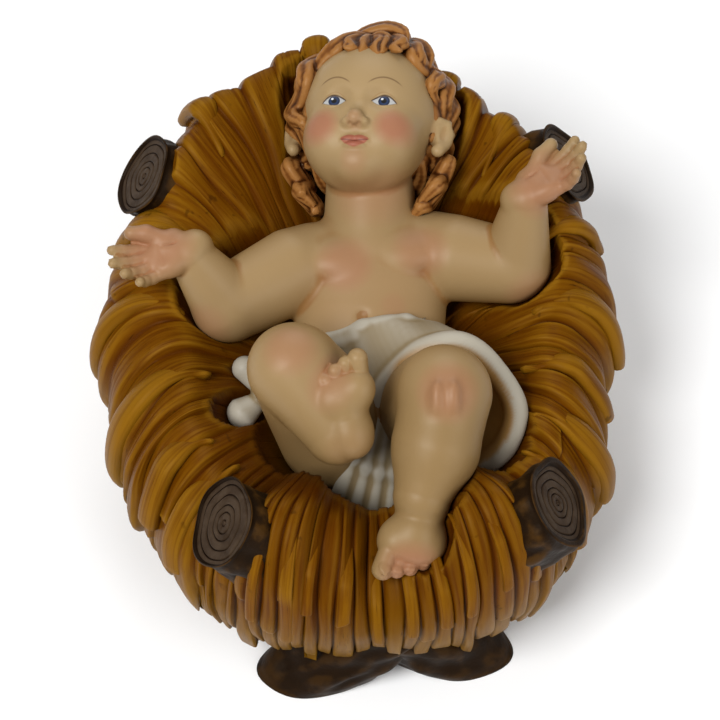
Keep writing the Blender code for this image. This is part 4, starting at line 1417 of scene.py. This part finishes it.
@dataclass
class Straw:
    """The carved straw bowl: a ring of overlapping strands, and short straws laid over it."""

    middle: tuple[float, float] = (1.0, -14.0)
    floor_top: float = 23.5
    floor_under: float = 15.5
    column: float = 0.42
    rows: int = 150
    runs: int = 3
    seed: int = 11

    def __post_init__(self) -> None:
        """Lays out the strands round the bowl."""
        angles, angle = [], 0.0
        spread = np.random.default_rng(self.seed + 1).uniform(0.66, 1.34, 200)
        while angle < 360.0:
            width = by_direction(STRANDS, np.array(angle))[0] * spread[len(angles)]
            reach = by_direction(RIM, np.array(angle))[2]
            angles.append(angle)
            angle += math.degrees(width / reach)
        self.starts = np.array(angles) * (360.0 / angle)
        self.count = len(angles)
        rng = np.random.default_rng(self.seed)
        self.waves = rng.uniform(0, 2 * math.pi, (self.count, 6))
        self.sizes = rng.uniform(0, 1, (self.count, 8))

    def profile(self, angle: Array, hem_lift: Array) -> Array:
        """Returns the slice's points for each direction: reach, height, and how deep it is carved.

        Args:
            angle: Directions, in degrees.
            hem_lift: How far each column's hem is raised.

        Returns:
            An array of 16 points, by columns, by three numbers.
        """
        hem_r, hem_z, bulge_r, bulge_z, crest_r, crest_z = by_direction(RIM, angle).T
        rise = crest_z - self.floor_top
        one = np.ones_like(angle)
        under = self.floor_under
        front = np.exp(-((angle - 270) / 34) ** 4)
        spots = [(0.4 * one, under * one, 0 * one), (hem_r * 0.40, under * one, 0 * one),
                 (hem_r * 0.80, (under + 0.5) * one, 0 * one),
                 (hem_r - 4.5, hem_z + 0.8 * hem_lift, 0.15 * one),
                 (hem_r - 0.8, hem_z + hem_lift, 0.8 * one), (hem_r, hem_z + hem_lift + 0.8, one),
                 (bulge_r - 0.6, (hem_z + bulge_z) / 2 + 0.3 * hem_lift, one),
                 (bulge_r, bulge_z, one)]
        for share in (0.35, 0.72):
            turn = share * math.pi / 2
            spots.append((crest_r + (bulge_r - crest_r) * math.cos(turn),
                          bulge_z + (crest_z - bulge_z) * math.sin(turn), one * (1 - 0.12 * share)))
        spots.append((crest_r, crest_z, one * 0.85))
        for share, cut in ((0.84, 0.62), (0.64, 0.42), (0.42, 0.30), (0.20, 0.20)):
            roll = 0.55 * share + 0.45 * (0.5 - 0.5 * math.cos(math.pi * share))
            spots.append((crest_r * share, self.floor_top + rise * roll, cut * (1 - 0.8 * front)))
        spots.append((0.4 * one, self.floor_top * one, 0 * one))
        return np.stack([np.stack(spot, 1) for spot in spots])

    def surface(self, strand: Array, across: Array, row: Array) -> tuple[Array, Array, Array]:
        """Returns the carved surface.

        Args:
            strand: Each column's strand number.
            across: Each column's place in its strand, from -1 to 1.
            row: The rows' places along the slice, from 0 to 1.

        Returns:
            Points by rows and columns, each one's lay (across, along, number), and its depth of cut.
        """
        start = self.starts[strand]
        width_deg = np.mod(self.starts[(strand + 1) % self.count] - start, 360.0)
        angle = start + (across + 1) / 2 * width_deg
        wide = by_direction(STRANDS, angle)[:, 0]
        sizes = self.sizes[strand]
        lift = 2.8 * np.sin(3.7 * strand) + 1.8 * np.sin(1.3 * strand)
        lift = lift + (sizes[:, 0] - 0.5) * 3.4 * across + 2.0 * np.abs(across) ** 12 - 0.6
        corners = self.profile(angle, lift)
        t = np.clip(row, 0, 1) * (len(corners) - 1)
        base = np.minimum(t.astype(int), len(corners) - 2)
        padded = np.concatenate([2 * corners[:1] - corners[1:2], corners,
                                 2 * corners[-1:] - corners[-2:-1]])
        f = (t - base)[:, None, None]
        a, b, c, d = (padded[base + k] for k in range(4))
        spot = rounded(a, b, c, d, f)
        reach, height, cut = spot[..., 0], spot[..., 1], np.clip(spot[..., 2], 0, 1)
        step = np.hypot(np.diff(reach, axis=0), np.diff(height, axis=0))
        along = np.vstack([np.zeros((1, step.shape[1])), np.cumsum(step, 0)])
        crest_r, crest_z = by_direction(RIM, angle)[:, 4:].T
        swing = by_direction(STRANDS, angle)[:, 1]
        wander = self.wander(strand, across, along) * width_deg
        turn = angle + swing * (reach / crest_r - 0.9) + wander
        relief = self.relief(strand, across, along - by_direction(RIM, angle)[:, 0], wide) * cut
        d_reach, d_height = np.gradient(reach, axis=0), np.gradient(height, axis=0)
        size = np.maximum(np.hypot(d_reach, d_height), 1e-6)
        out_r, out_z = d_height / size, -d_reach / size
        reach = reach + out_r * relief
        height = height + out_z * relief
        heading = np.radians(turn)
        points = np.stack([self.middle[0] + np.cos(heading) * reach,
                           self.middle[1] + np.sin(heading) * reach, height], 2)
        lay = np.stack([across * wide / 2 + 0 * along, along, strand * 7.31 + 0 * along], 2)
        return points, lay, cut

    def wander(self, strand: Array, across: Array, along: Array) -> Array:
        """Returns how far each column strays sideways, as a share of its strand's width."""
        def edge(number: Array) -> Array:
            """Returns a strand edge's own waver."""
            wave = self.waves[number % self.count]
            return 0.15 * np.sin(along * 0.075 + wave[:, 0]) + 0.06 * np.sin(along * 0.17 + wave[:, 1])
        share = (across + 1) / 2
        return edge(strand) * (1 - share) + edge(strand + 1) * share

    def relief(self, strand: Array, across: Array, along: Array, wide: Array) -> Array:
        """Returns how far the carving stands out; along is counted from the hem."""
        wave, sizes = self.waves[strand], self.sizes[strand]
        side = np.clip((wide - 5.0) / 3.0, 0, 1)
        blunt = np.interp(along, (4, 20), (9.0, 2.6))
        dome = 0.46 * np.sqrt(np.clip(1 - 0.97 * np.abs(across) ** blunt, 0, 1)) - 0.26
        facing = np.where(np.cos(np.radians(self.starts[strand])) > 0, -1, 1)
        share = (1 - across * facing) / 2
        steep = 1 - (1 - np.clip(share / np.interp(along, (4, 20), (0.06, 0.30)), 0, 1)) ** 2
        lap = 0.30 * steep * (1 - 0.60 * np.clip((share - 0.25) / 0.75, 0, 1) ** 1.5) - 0.22
        height = dome * (1 - side) + lap * side + 0.07 * (sizes[:, 1] - 0.5)
        height = height * wide
        height = (height + 0.35 * np.sin(along * 0.11 + wave[:, 2])
                  + 0.15 * np.sin(along * 0.27 + wave[:, 3]))
        for k in range(3):
            centre = -0.5 + 0.5 * k + 0.16 * np.sin(along * 0.06 + wave[:, k] * 2 + k)
            strength = np.clip(0.1 + 1.1 * np.sin(along * 0.05 + wave[:, (k + 2) % 6] * 3), 0, 1)
            height = height - side * 0.34 * strength * np.exp(-((across - centre) / 0.07) ** 2)
        where = 4 + 44 * sizes[:, 2] + 3.0 * across * (sizes[:, 3] - 0.5)
        past = along - where
        stepped = np.clip(-past / 0.8, 0, 1) * np.exp(-np.clip(-past, 0, None) / 14)
        return height - 1.25 * (sizes[:, 4] > 0.5) * stepped * np.clip(1.6 - 0.9 * np.abs(across), 0, 1)

    def columns(self, first: int, last: int) -> tuple[Array, Array]:
        """Returns the strand and the place across it of every column of a run of strands."""
        strands, across = [], []
        for number in range(first, last):
            wide = by_direction(STRANDS, np.array(self.starts[number % self.count]))[0]
            count = max(9, round(wide / self.column))
            share = (np.arange(count) + 0.0) / count
            strands += [number % self.count] * count
            across += list(-1 + 2 * share)
        strands.append(last % self.count)
        across.append(-1.0)
        return np.array(strands), np.array(across)

    def make(self, paint: StrawPaint, child: list[bpy.types.Object]) -> list[bpy.types.Object]:
        """Builds the bowl in a few runs of strands, and lays short straws over it.

        Args:
            paint: Its finish.
            child: The pieces that lie in it.

        Returns:
            The dressed pieces.
        """
        material = paint.make()
        trees = [tree_of(piece) for piece in child]
        rows = self.row_places()
        made = []
        marks = np.linspace(0, self.count, self.runs + 1).astype(int)
        for part in range(self.runs):
            strand, across = self.columns(int(marks[part]), int(marks[part + 1]))
            points, lay, cut = self.surface(strand, across, rows)
            points = self.clear_logs(self.make_room(points, trees))
            made.append(self.grid(f"straw_{part + 1}", points, lay, material))
        made.append(self.loose_straws(material))
        return made

    def row_places(self) -> Array:
        """Returns the rows' places along the slice, close together where the carving shows."""
        marks = np.array((0.0, 1.0, 2.5, 3.0, 4.0, 5.0, 6.0, 10.0, 12.0, 13.5, 15.0)) / 15
        weight = np.array((0.0, 0.012, 0.03, 0.06, 0.12, 0.18, 0.27, 0.74, 0.89, 0.965, 1.0))
        return np.interp(np.linspace(0, 1, self.rows), weight, marks)

    def make_room(self, points: Array, trees: list[BVHTree]) -> Array:
        """Lowers the straw wherever it would stand in the child."""
        up = Vector((0, 0, 1))
        drop = np.zeros(points.shape[:2])
        for i, j in zip(*np.nonzero(np.hypot(points[..., 0] - 1, points[..., 1] + 14) < 84)):
            x, y, z = points[i, j]
            if z < 20:
                continue
            for tree in trees:
                hit = tree.ray_cast(Vector((x, y, 5.0)), up)[0]
                if hit is not None and z > hit.z - 0.4:
                    drop[i, j] = max(drop[i, j], z - hit.z + 0.4)
        for _ in range(5):
            spread = drop.copy()
            spread[1:] = np.maximum(spread[1:], drop[:-1] - 0.9)
            spread[:-1] = np.maximum(spread[:-1], drop[1:] - 0.9)
            spread[:, 1:] = np.maximum(spread[:, 1:], drop[:, :-1] - 0.6)
            spread[:, :-1] = np.maximum(spread[:, :-1], drop[:, 1:] - 0.6)
            drop = spread
        lowered = points.copy()
        lowered[..., 2] = np.where(drop > 0, np.maximum(points[..., 2] - drop, 17.5), points[..., 2])
        return lowered

    def clear_logs(self, points: Array) -> Array:
        """Draws the straw back from the logs' sawn ends."""
        for top, foot, cut in Logs().ends:
            top, axis, cut = np.array(top), unit(np.array(top) - np.array(foot)), unit(cut)
            off = points - top
            ahead = off @ cut
            side = off - (off @ axis)[..., None] * axis
            gap = np.linalg.norm(side, axis=2)
            inside = np.clip((14.5 - gap) / 2.0, 0, 1) * (ahead > -2.5) * (off @ axis > -24)
            points = points - cut * (np.clip(ahead + 2.5, 0, 9) * inside)[..., None]
        return points

    def grid(self, name: str, points: Array, lay: Array,
             material: bpy.types.Material) -> bpy.types.Object:
        """Shapes a grid into one run of the straw.

        Args:
            name: The piece's name.
            points: Its vertices by rows and columns.
            lay: Each vertex's place across and along its strand.
            material: Its finish.

        Returns:
            The dressed piece.
        """
        obj = shaped_grid(name, points)
        store(obj.data, "lay", lay.reshape(-1, 3))
        flat = points.reshape(-1, 3)
        store(obj.data, "hollow", hollowness(obj.data, 7))
        off = flat[:, :2] - self.middle
        crest = by_direction(RIM, np.degrees(np.arctan2(off[:, 1], off[:, 0])))[:, 4]
        # Painted shade inside the bowl and on the front apron, and darker towards the bottom.
        pit_shade = np.clip((0.93 - np.hypot(off[:, 0], off[:, 1]) / crest) * 2.0, 0, 0.85)
        low = (np.clip((46 - flat[:, 2]) / 30, 0, 1) * 0.14
               + np.clip((22 - flat[:, 2]) / 8, 0, 0.4) * 0.4)
        front = (np.exp(-(off[:, 0] / 40) ** 4) * (off[:, 1] < 0)
                 * np.clip((flat[:, 2] - 24) / 22, 0, 1))
        store(obj.data, "pit_shade", np.clip(pit_shade + low + 0.50 * front, 0, 0.85))
        dress(obj, material, "manger")
        return obj

    def loose_straws(self, material: bpy.types.Material) -> bpy.types.Object:
        """Lays short cut straws over the carving, each a flattened tube.

        Args:
            material: The straw's finish.

        Returns:
            The dressed piece, all the straws in one.
        """
        rng = np.random.default_rng(self.seed + 5)
        parts = []
        places = [(a, 0.66, 0.47) for a in (243, 249, 254, 261, 269, 277, 283, 289, 296)]
        places += [(a, 0.71, 0.45) for a in (140, 163, 187, 204, 216, 322, 338, 352, 12, 33)]
        places += [(a, 0.72, 0.58) for a in (56, 73, 98, 118)]
        for number, (angle, high, low) in enumerate(places):
            strand = int(np.searchsorted(self.starts, angle % 360, side="right") - 1)
            wide = by_direction(STRANDS, np.array(angle % 360))[0]
            parts.append(self.one_straw(strand, high + rng.uniform(-0.02, 0.02),
                                        low + rng.uniform(-0.05, 0.06),
                                        wide * rng.uniform(0.62, 0.9), rng.uniform(-0.5, 0.5),
                                        number))
        select_only(*parts)
        bpy.ops.object.join()
        obj = parts[0]
        obj.name = obj.data.name = "loose_straws"
        store(obj.data, "hollow", hollowness(obj.data, 4) * 0.6)
        store(obj.data, "pit_shade", np.zeros(len(obj.data.vertices)))
        dress(obj, material, "manger")
        return obj

    def one_straw(self, strand: int, high: float, low: float, wide: float, slant: float,
                  number: int) -> bpy.types.Object:
        """Makes one short straw that lies along a strand and ends in a sawn tip.

        Args:
            strand: The strand that it lies on.
            high: Where it starts along the slice, from 0 to 1.
            low: Where it ends.
            wide: Its width.
            slant: How its tip is slanted.
            number: Its own number.

        Returns:
            The straw, in shares.
        """
        share = np.linspace(0, 1, 26)
        rows = np.concatenate([np.linspace(0, low, 40, endpoint=False), np.linspace(low, high, 26)])
        place = 0.35 * math.sin(number * 2.3) + 0.3 * math.sin(number * 1.7) * share[::-1]
        carved = self.surface(np.full(26, strand), place, rows)[0]
        line = carved[40 + np.arange(26), np.arange(26)][::-1]
        for _ in range(2):
            line[1:-1] = (line[:-2] + 2 * line[1:-1] + line[2:]) / 4
        way = np.gradient(line, axis=0)
        way /= np.linalg.norm(way, axis=1, keepdims=True)
        out = line - np.array((self.middle[0], self.middle[1], 30.0))
        out = out - (out * way).sum(1, keepdims=True) * way
        out /= np.linalg.norm(out, axis=1, keepdims=True)
        side = np.cross(way, out)
        turns = np.linspace(0, 2 * math.pi, 19)
        half = wide / 2 * (0.35 + 0.65 * np.minimum(1, share / 0.45))
        sink = -4.2 + 4.4 * np.minimum(1, share / 0.55) ** 0.8
        crown = 0.62 * np.sign(np.cos(turns)) * np.abs(np.cos(turns)) ** 0.8
        rings = [line + side * (half * math.sin(t))[:, None] + out * (sink + half * c)[:, None]
                 for t, c in zip(turns, crown)]
        points = np.stack(rings, 1)
        points[-1] += way[-1] * (slant * np.sin(turns) * wide * 0.5)[:, None]
        tip = points[-1:]
        middle = tip.mean(1, keepdims=True)
        inset = [middle + (tip - middle) * scale + way[-1] * lift
                 for scale, lift in ((0.97, 0.16), (0.90, 0.22), (0.5, 0.12), (0.0, 0.05))]
        points = np.concatenate([np.broadcast_to(points[0].mean(0), points[:1].shape), points, *inset])
        obj = shaped_grid(f"straw_piece_{number}", points)
        along = np.concatenate([[0], share * 22, [22.2, 22.4, 22.6, 22.8]]) + number * 13
        lay = np.stack(np.broadcast_arrays(np.sin(turns)[None, :] * wide / 2, along[:, None],
                                           np.array(number * 3.3)), 2)
        store(obj.data, "lay", lay.reshape(-1, 3))
        close_up(obj)
        return obj


def tree_of(obj: bpy.types.Object) -> BVHTree:
    """Returns a search tree of a dressed piece, in shares."""
    points = (read_points(obj.data).astype(float) - OFFSET) / SHARE
    faces = [tuple(f.vertices) for f in obj.data.polygons]
    return BVHTree.FromPolygons([tuple(p) for p in points], faces)


def shaped_grid(name: str, points: Array) -> bpy.types.Object:
    """Adds a grid and moves its vertices to the given rows and columns.

    Args:
        name: The object's name.
        points: The places, by rows and columns.

    Returns:
        The object, its rows in order.
    """
    rows, columns = points.shape[:2]
    deselect()
    bpy.ops.mesh.primitive_grid_add(x_subdivisions=columns - 1, y_subdivisions=rows - 1, size=2.0)
    obj = bpy.context.object
    obj.name = obj.data.name = name
    flat = read_points(obj.data)
    column = np.rint((flat[:, 0] + 1) / 2 * (columns - 1)).astype(int)
    row = np.rint((flat[:, 1] + 1) / 2 * (rows - 1)).astype(int)
    write_points(obj.data, points[row, column])
    return obj


def close_up(obj: bpy.types.Object) -> None:
    """Merges a shape's seam and poles, and turns its faces outwards."""
    select_only(obj)
    bpy.ops.object.mode_set(mode="EDIT")
    bpy.ops.mesh.select_all(action="SELECT")
    bpy.ops.mesh.remove_doubles(threshold=0.0005)
    bpy.ops.mesh.normals_make_consistent(inside=False)
    bpy.ops.object.mode_set(mode="OBJECT")


@dataclass
class Logs:
    """Four short logs, lumpy with bark, their upper ends sawn and ringed."""

    radius: float = 12.3
    rims: int = 88
    rows: int = 84
    length: float = 84.0
    rims_in: tuple[float, ...] = (0.93, 0.83, 0.90, 0.88)
    ends: tuple = (((-40.0, -70.0, 66.0), (22.5, -77.5, 0.0), (-0.74, -0.07, 0.67)),
                   ((48.6, -68.0, 65.0), (-16.5, -80.5, 0.0), (0.74, -0.07, 0.67)),
                   ((-60.5, 41.0, 71.0), (23.0, 50.0, 0.0), (-0.76, 0.02, 0.65)),
                   ((61.6, 39.0, 71.0), (-19.0, 53.0, 0.0), (0.76, 0.02, 0.65)))

    def make(self, paint: BarkPaint) -> list[bpy.types.Object]:
        """Builds the four logs.

        Args:
            paint: Their finish.

        Returns:
            The dressed pieces.
        """
        material = paint.make()
        return [self.one(number, *end, material) for number, end in enumerate(self.ends)]

    def one(self, number: int, top: Point, foot: Point, cut: Point,
            material: bpy.types.Material) -> bpy.types.Object:
        """Returns one log, flat at its foot and sawn at its upper end."""
        top, foot, cut = np.array(top), np.array(foot), unit(cut)
        axis = unit(top - foot)
        across = unit(np.cross(axis, (0, 1, 0)))
        upward = np.cross(axis, across)
        turn = np.linspace(0, 2 * math.pi, self.rims + 1)
        rng = np.random.default_rng(40 + number)
        shift = rng.uniform(0, 6.28, 8)
        whole = 1 + 0.03 * np.sin(3 * turn + number) + 0.022 * np.sin(5 * turn + 2 * number)
        rings: list[Array] = []
        flags: list[float] = []
        side = across * np.cos(turn)[:, None] + upward * np.sin(turn)[:, None]

        def on_ground(scale: Array | float) -> Array:
            """Returns a ring of the foot's flat end."""
            spot = foot + side * (self.radius * whole * scale)[:, None]
            return spot - axis * (spot[:, 2] / axis[2])[:, None]

        def on_cut(scale: Array, lift: Array) -> Array:
            """Returns a ring of the sawn end."""
            spot = top + side * (self.radius * scale)[:, None]
            spot = spot - axis * (((spot - top) @ cut) / (axis @ cut))[:, None]
            return spot + cut * lift[:, None]

        for scale in (0.0, 0.5, 0.9):
            rings.append(on_ground(scale))
            flags.append(0.0)
        low, high = on_ground(1.0), on_cut(whole, np.zeros_like(turn))
        for i in range(self.rows + 1):
            share = i / self.rows
            height = share * self.length
            bark = (0.32 * np.sin(6 * turn + 0.16 * height + shift[0])
                    + 0.26 * np.sin(9 * turn - 0.23 * height + shift[1])
                    + 0.26 * np.sin(4 * turn + 0.34 * height + shift[2])
                    + 0.14 * np.sin(15 * turn + 1.5 * np.sin(0.3 * height) + shift[3])
                    + 0.22 * np.sin(0.62 * height + 2 * np.sin(3 * turn + shift[4])))
            ends_in = min(1.0, share * 9, (1 - share) * 14 + 0.35)
            drop = 0.9 * (1 - min(1.0, (1 - share) * 30)) + 0.7 * (1 - min(1.0, share * 22))
            knuckle = (0.9 * np.sin(2 * turn + 0.19 * height + shift[5])
                       + 0.5 * np.sin(3 * turn - 0.3 * height)) * (share < 0.3)
            lift = (bark + knuckle * (0.3 - share) * 3 - 0.3) * ends_in - drop
            rings.append(low + (high - low) * share + side * lift[:, None])
            flags.append(0.0)
        wobble = (0.045 * np.sin(2 * turn + shift[5]) + 0.03 * np.sin(3 * turn + shift[6])
                  + 0.012 * np.sin(7 * turn + shift[7]))
        rim = self.rims_in[number]
        for scale, lift, flag in self.end_rows(rim):
            waver = wobble * math.sin(math.pi * min(1.0, scale / rim)) ** 0.7 * (scale < rim)
            outline = whole if scale > rim - 0.04 else 1 + (whole - 1) * scale / rim
            uneven = 0.15 * np.sin(5 * turn + 9 * scale + shift[0]) * (0.8 if scale > rim else 0.2)
            rings.append(on_cut(outline * scale * (1 + waver), lift + uneven))
            flags.append(flag)
        points = np.stack(rings)
        points[..., 2] = np.maximum(points[..., 2], 0.0)
        obj = shaped_grid(f"log_{number + 1}", points)
        store(obj.data, "cut_face", np.repeat(np.array(flags), self.rims + 1))
        store(obj.data, "brushed", np.clip((points.reshape(-1, 3)[:, 2] - 14) / 16, 0.5, 1))
        close_up(obj)
        store(obj.data, "hollow", hollowness(obj.data, 5))
        dress(obj, material, "manger")
        return obj

    def end_rows(self, rim: float) -> list[tuple[float, float, float]]:
        """Returns the sawn end's rows, for the bark's inner edge.

        Args:
            rim: How far out the bare wood reaches.

        Returns:
            Each row's share of the radius, its height and whether it is bare wood.
        """
        rows = [(0.985, 0.25, 0.0), (0.965, 0.42, 0.0)]
        rows += [(float(r), 0.45, 0.0) for r in np.linspace(0.94, rim + 0.03, 4)]
        rows += [(rim + 0.012, 0.2, 0.0), (rim - 0.004, -0.25, 0.5), (rim - 0.02, -0.35, 1.0)]
        radius, grooves = rim - 0.035, [rim * share for share in (0.85, 0.62, 0.40, 0.24, 0.07)]
        while radius > 0.015:
            cut = sum(math.exp(-((radius - g) / 0.015) ** 2) for g in grooves)
            rows.append((radius, -0.30 - 0.55 * cut, 1.0))
            radius -= 0.0105
        rows.append((0.0, -0.7, 1.0))
        return rows


# Floor, lights and camera.


@dataclass
class Studio:
    """A pale floor, soft lights and the camera."""

    lamps: tuple = (("key", (-0.62, -0.58, 1.22), 0.7, 18.0), ("fill", (0.90, -0.80, 0.8), 1.0, 7.0),
                    ("rim", (0.1, 1.1, 1.0), 1.0, 6.0))
    surroundings: float = 0.30
    floor_height: float = -0.0002
    distance: float = 620.0
    target: tuple[float, float, float] = (0.0, -8.0, 38.0)
    pixel: tuple[float, float] = (363.0, 372.0)
    lens: float = 107.5

    def make_floor(self) -> None:
        """Lays the floor."""
        deselect()
        bpy.ops.mesh.primitive_plane_add(size=12.0, location=(0, 0, self.floor_height))
        floor = bpy.context.object
        floor.name = "floor"
        graph = Graph("floor_paint", 0.9, specular_ior_level=0.1)
        cloudy = graph.noise(graph.place(), 3.0, 2.0)
        graph.colour(graph.mix(cloudy, (0.93, 0.93, 0.93), (0.95, 0.95, 0.95)))
        floor.data.materials.append(graph.material)

    def make_light(self, name: str, place: Point, size: float, power: float) -> None:
        """Hangs one soft lamp, turned to the object."""
        data = bpy.data.lights.new(name, "AREA")
        data.shape = "DISK"
        data.size = size
        data.energy = power
        lamp = bpy.data.objects.new(name, data)
        bpy.context.scene.collection.objects.link(lamp)
        lamp.location = place
        lamp.rotation_euler = (Vector((0, 0, 0.04)) - Vector(place)).to_track_quat("-Z", "Y").to_euler()

    def make(self) -> None:
        """Sets the floor, the lights, the surroundings and the camera."""
        self.make_floor()
        for lamp in self.lamps:
            self.make_light(*lamp)
        world = bpy.data.worlds.new("studio")
        world.use_nodes = True
        background = world.node_tree.nodes["Background"]
        background.inputs[0].default_value = (1, 1, 1, 1)
        background.inputs[1].default_value = self.surroundings
        bpy.context.scene.world = world
        bpy.context.scene.view_settings.view_transform = "Standard"
        self.make_camera()

    def make_camera(self) -> None:
        """Sets the camera at the view from the foot end."""
        right, up, back = look(1, 0, 0), look(0, 1, 0), look(0, 0, 1)
        data = bpy.data.cameras.new("camera")
        data.lens = self.lens
        data.sensor_width = 36.0
        data.clip_end = 50.0
        data.shift_x = (360.0 - self.pixel[0]) / 720.0
        data.shift_y = (self.pixel[1] - 360.0) / 720.0
        camera = bpy.data.objects.new("camera", data)
        bpy.context.scene.collection.objects.link(camera)
        spot = (np.array(self.target) + back * self.distance) * SHARE + OFFSET
        turn = Matrix((right, up, back)).transposed().to_4x4()
        camera.matrix_world = Matrix.Translation(Vector(spot)) @ turn
        bpy.context.scene.camera = camera


def main() -> None:
    """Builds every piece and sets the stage."""
    logging.basicConfig(level=logging.INFO, format="%(relativeCreated)d ms %(message)s")
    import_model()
    child = Child()
    skin = child.make_skin(SkinPaint())
    hair = Hair(child).make(HairPaint())
    cloth = Loincloth(child).make(ClothPaint())
    Straw().make(StrawPaint(), [skin, cloth, hair])
    Logs().make(BarkPaint())
    Studio().make()


if __name__ == "__main__":
    main()
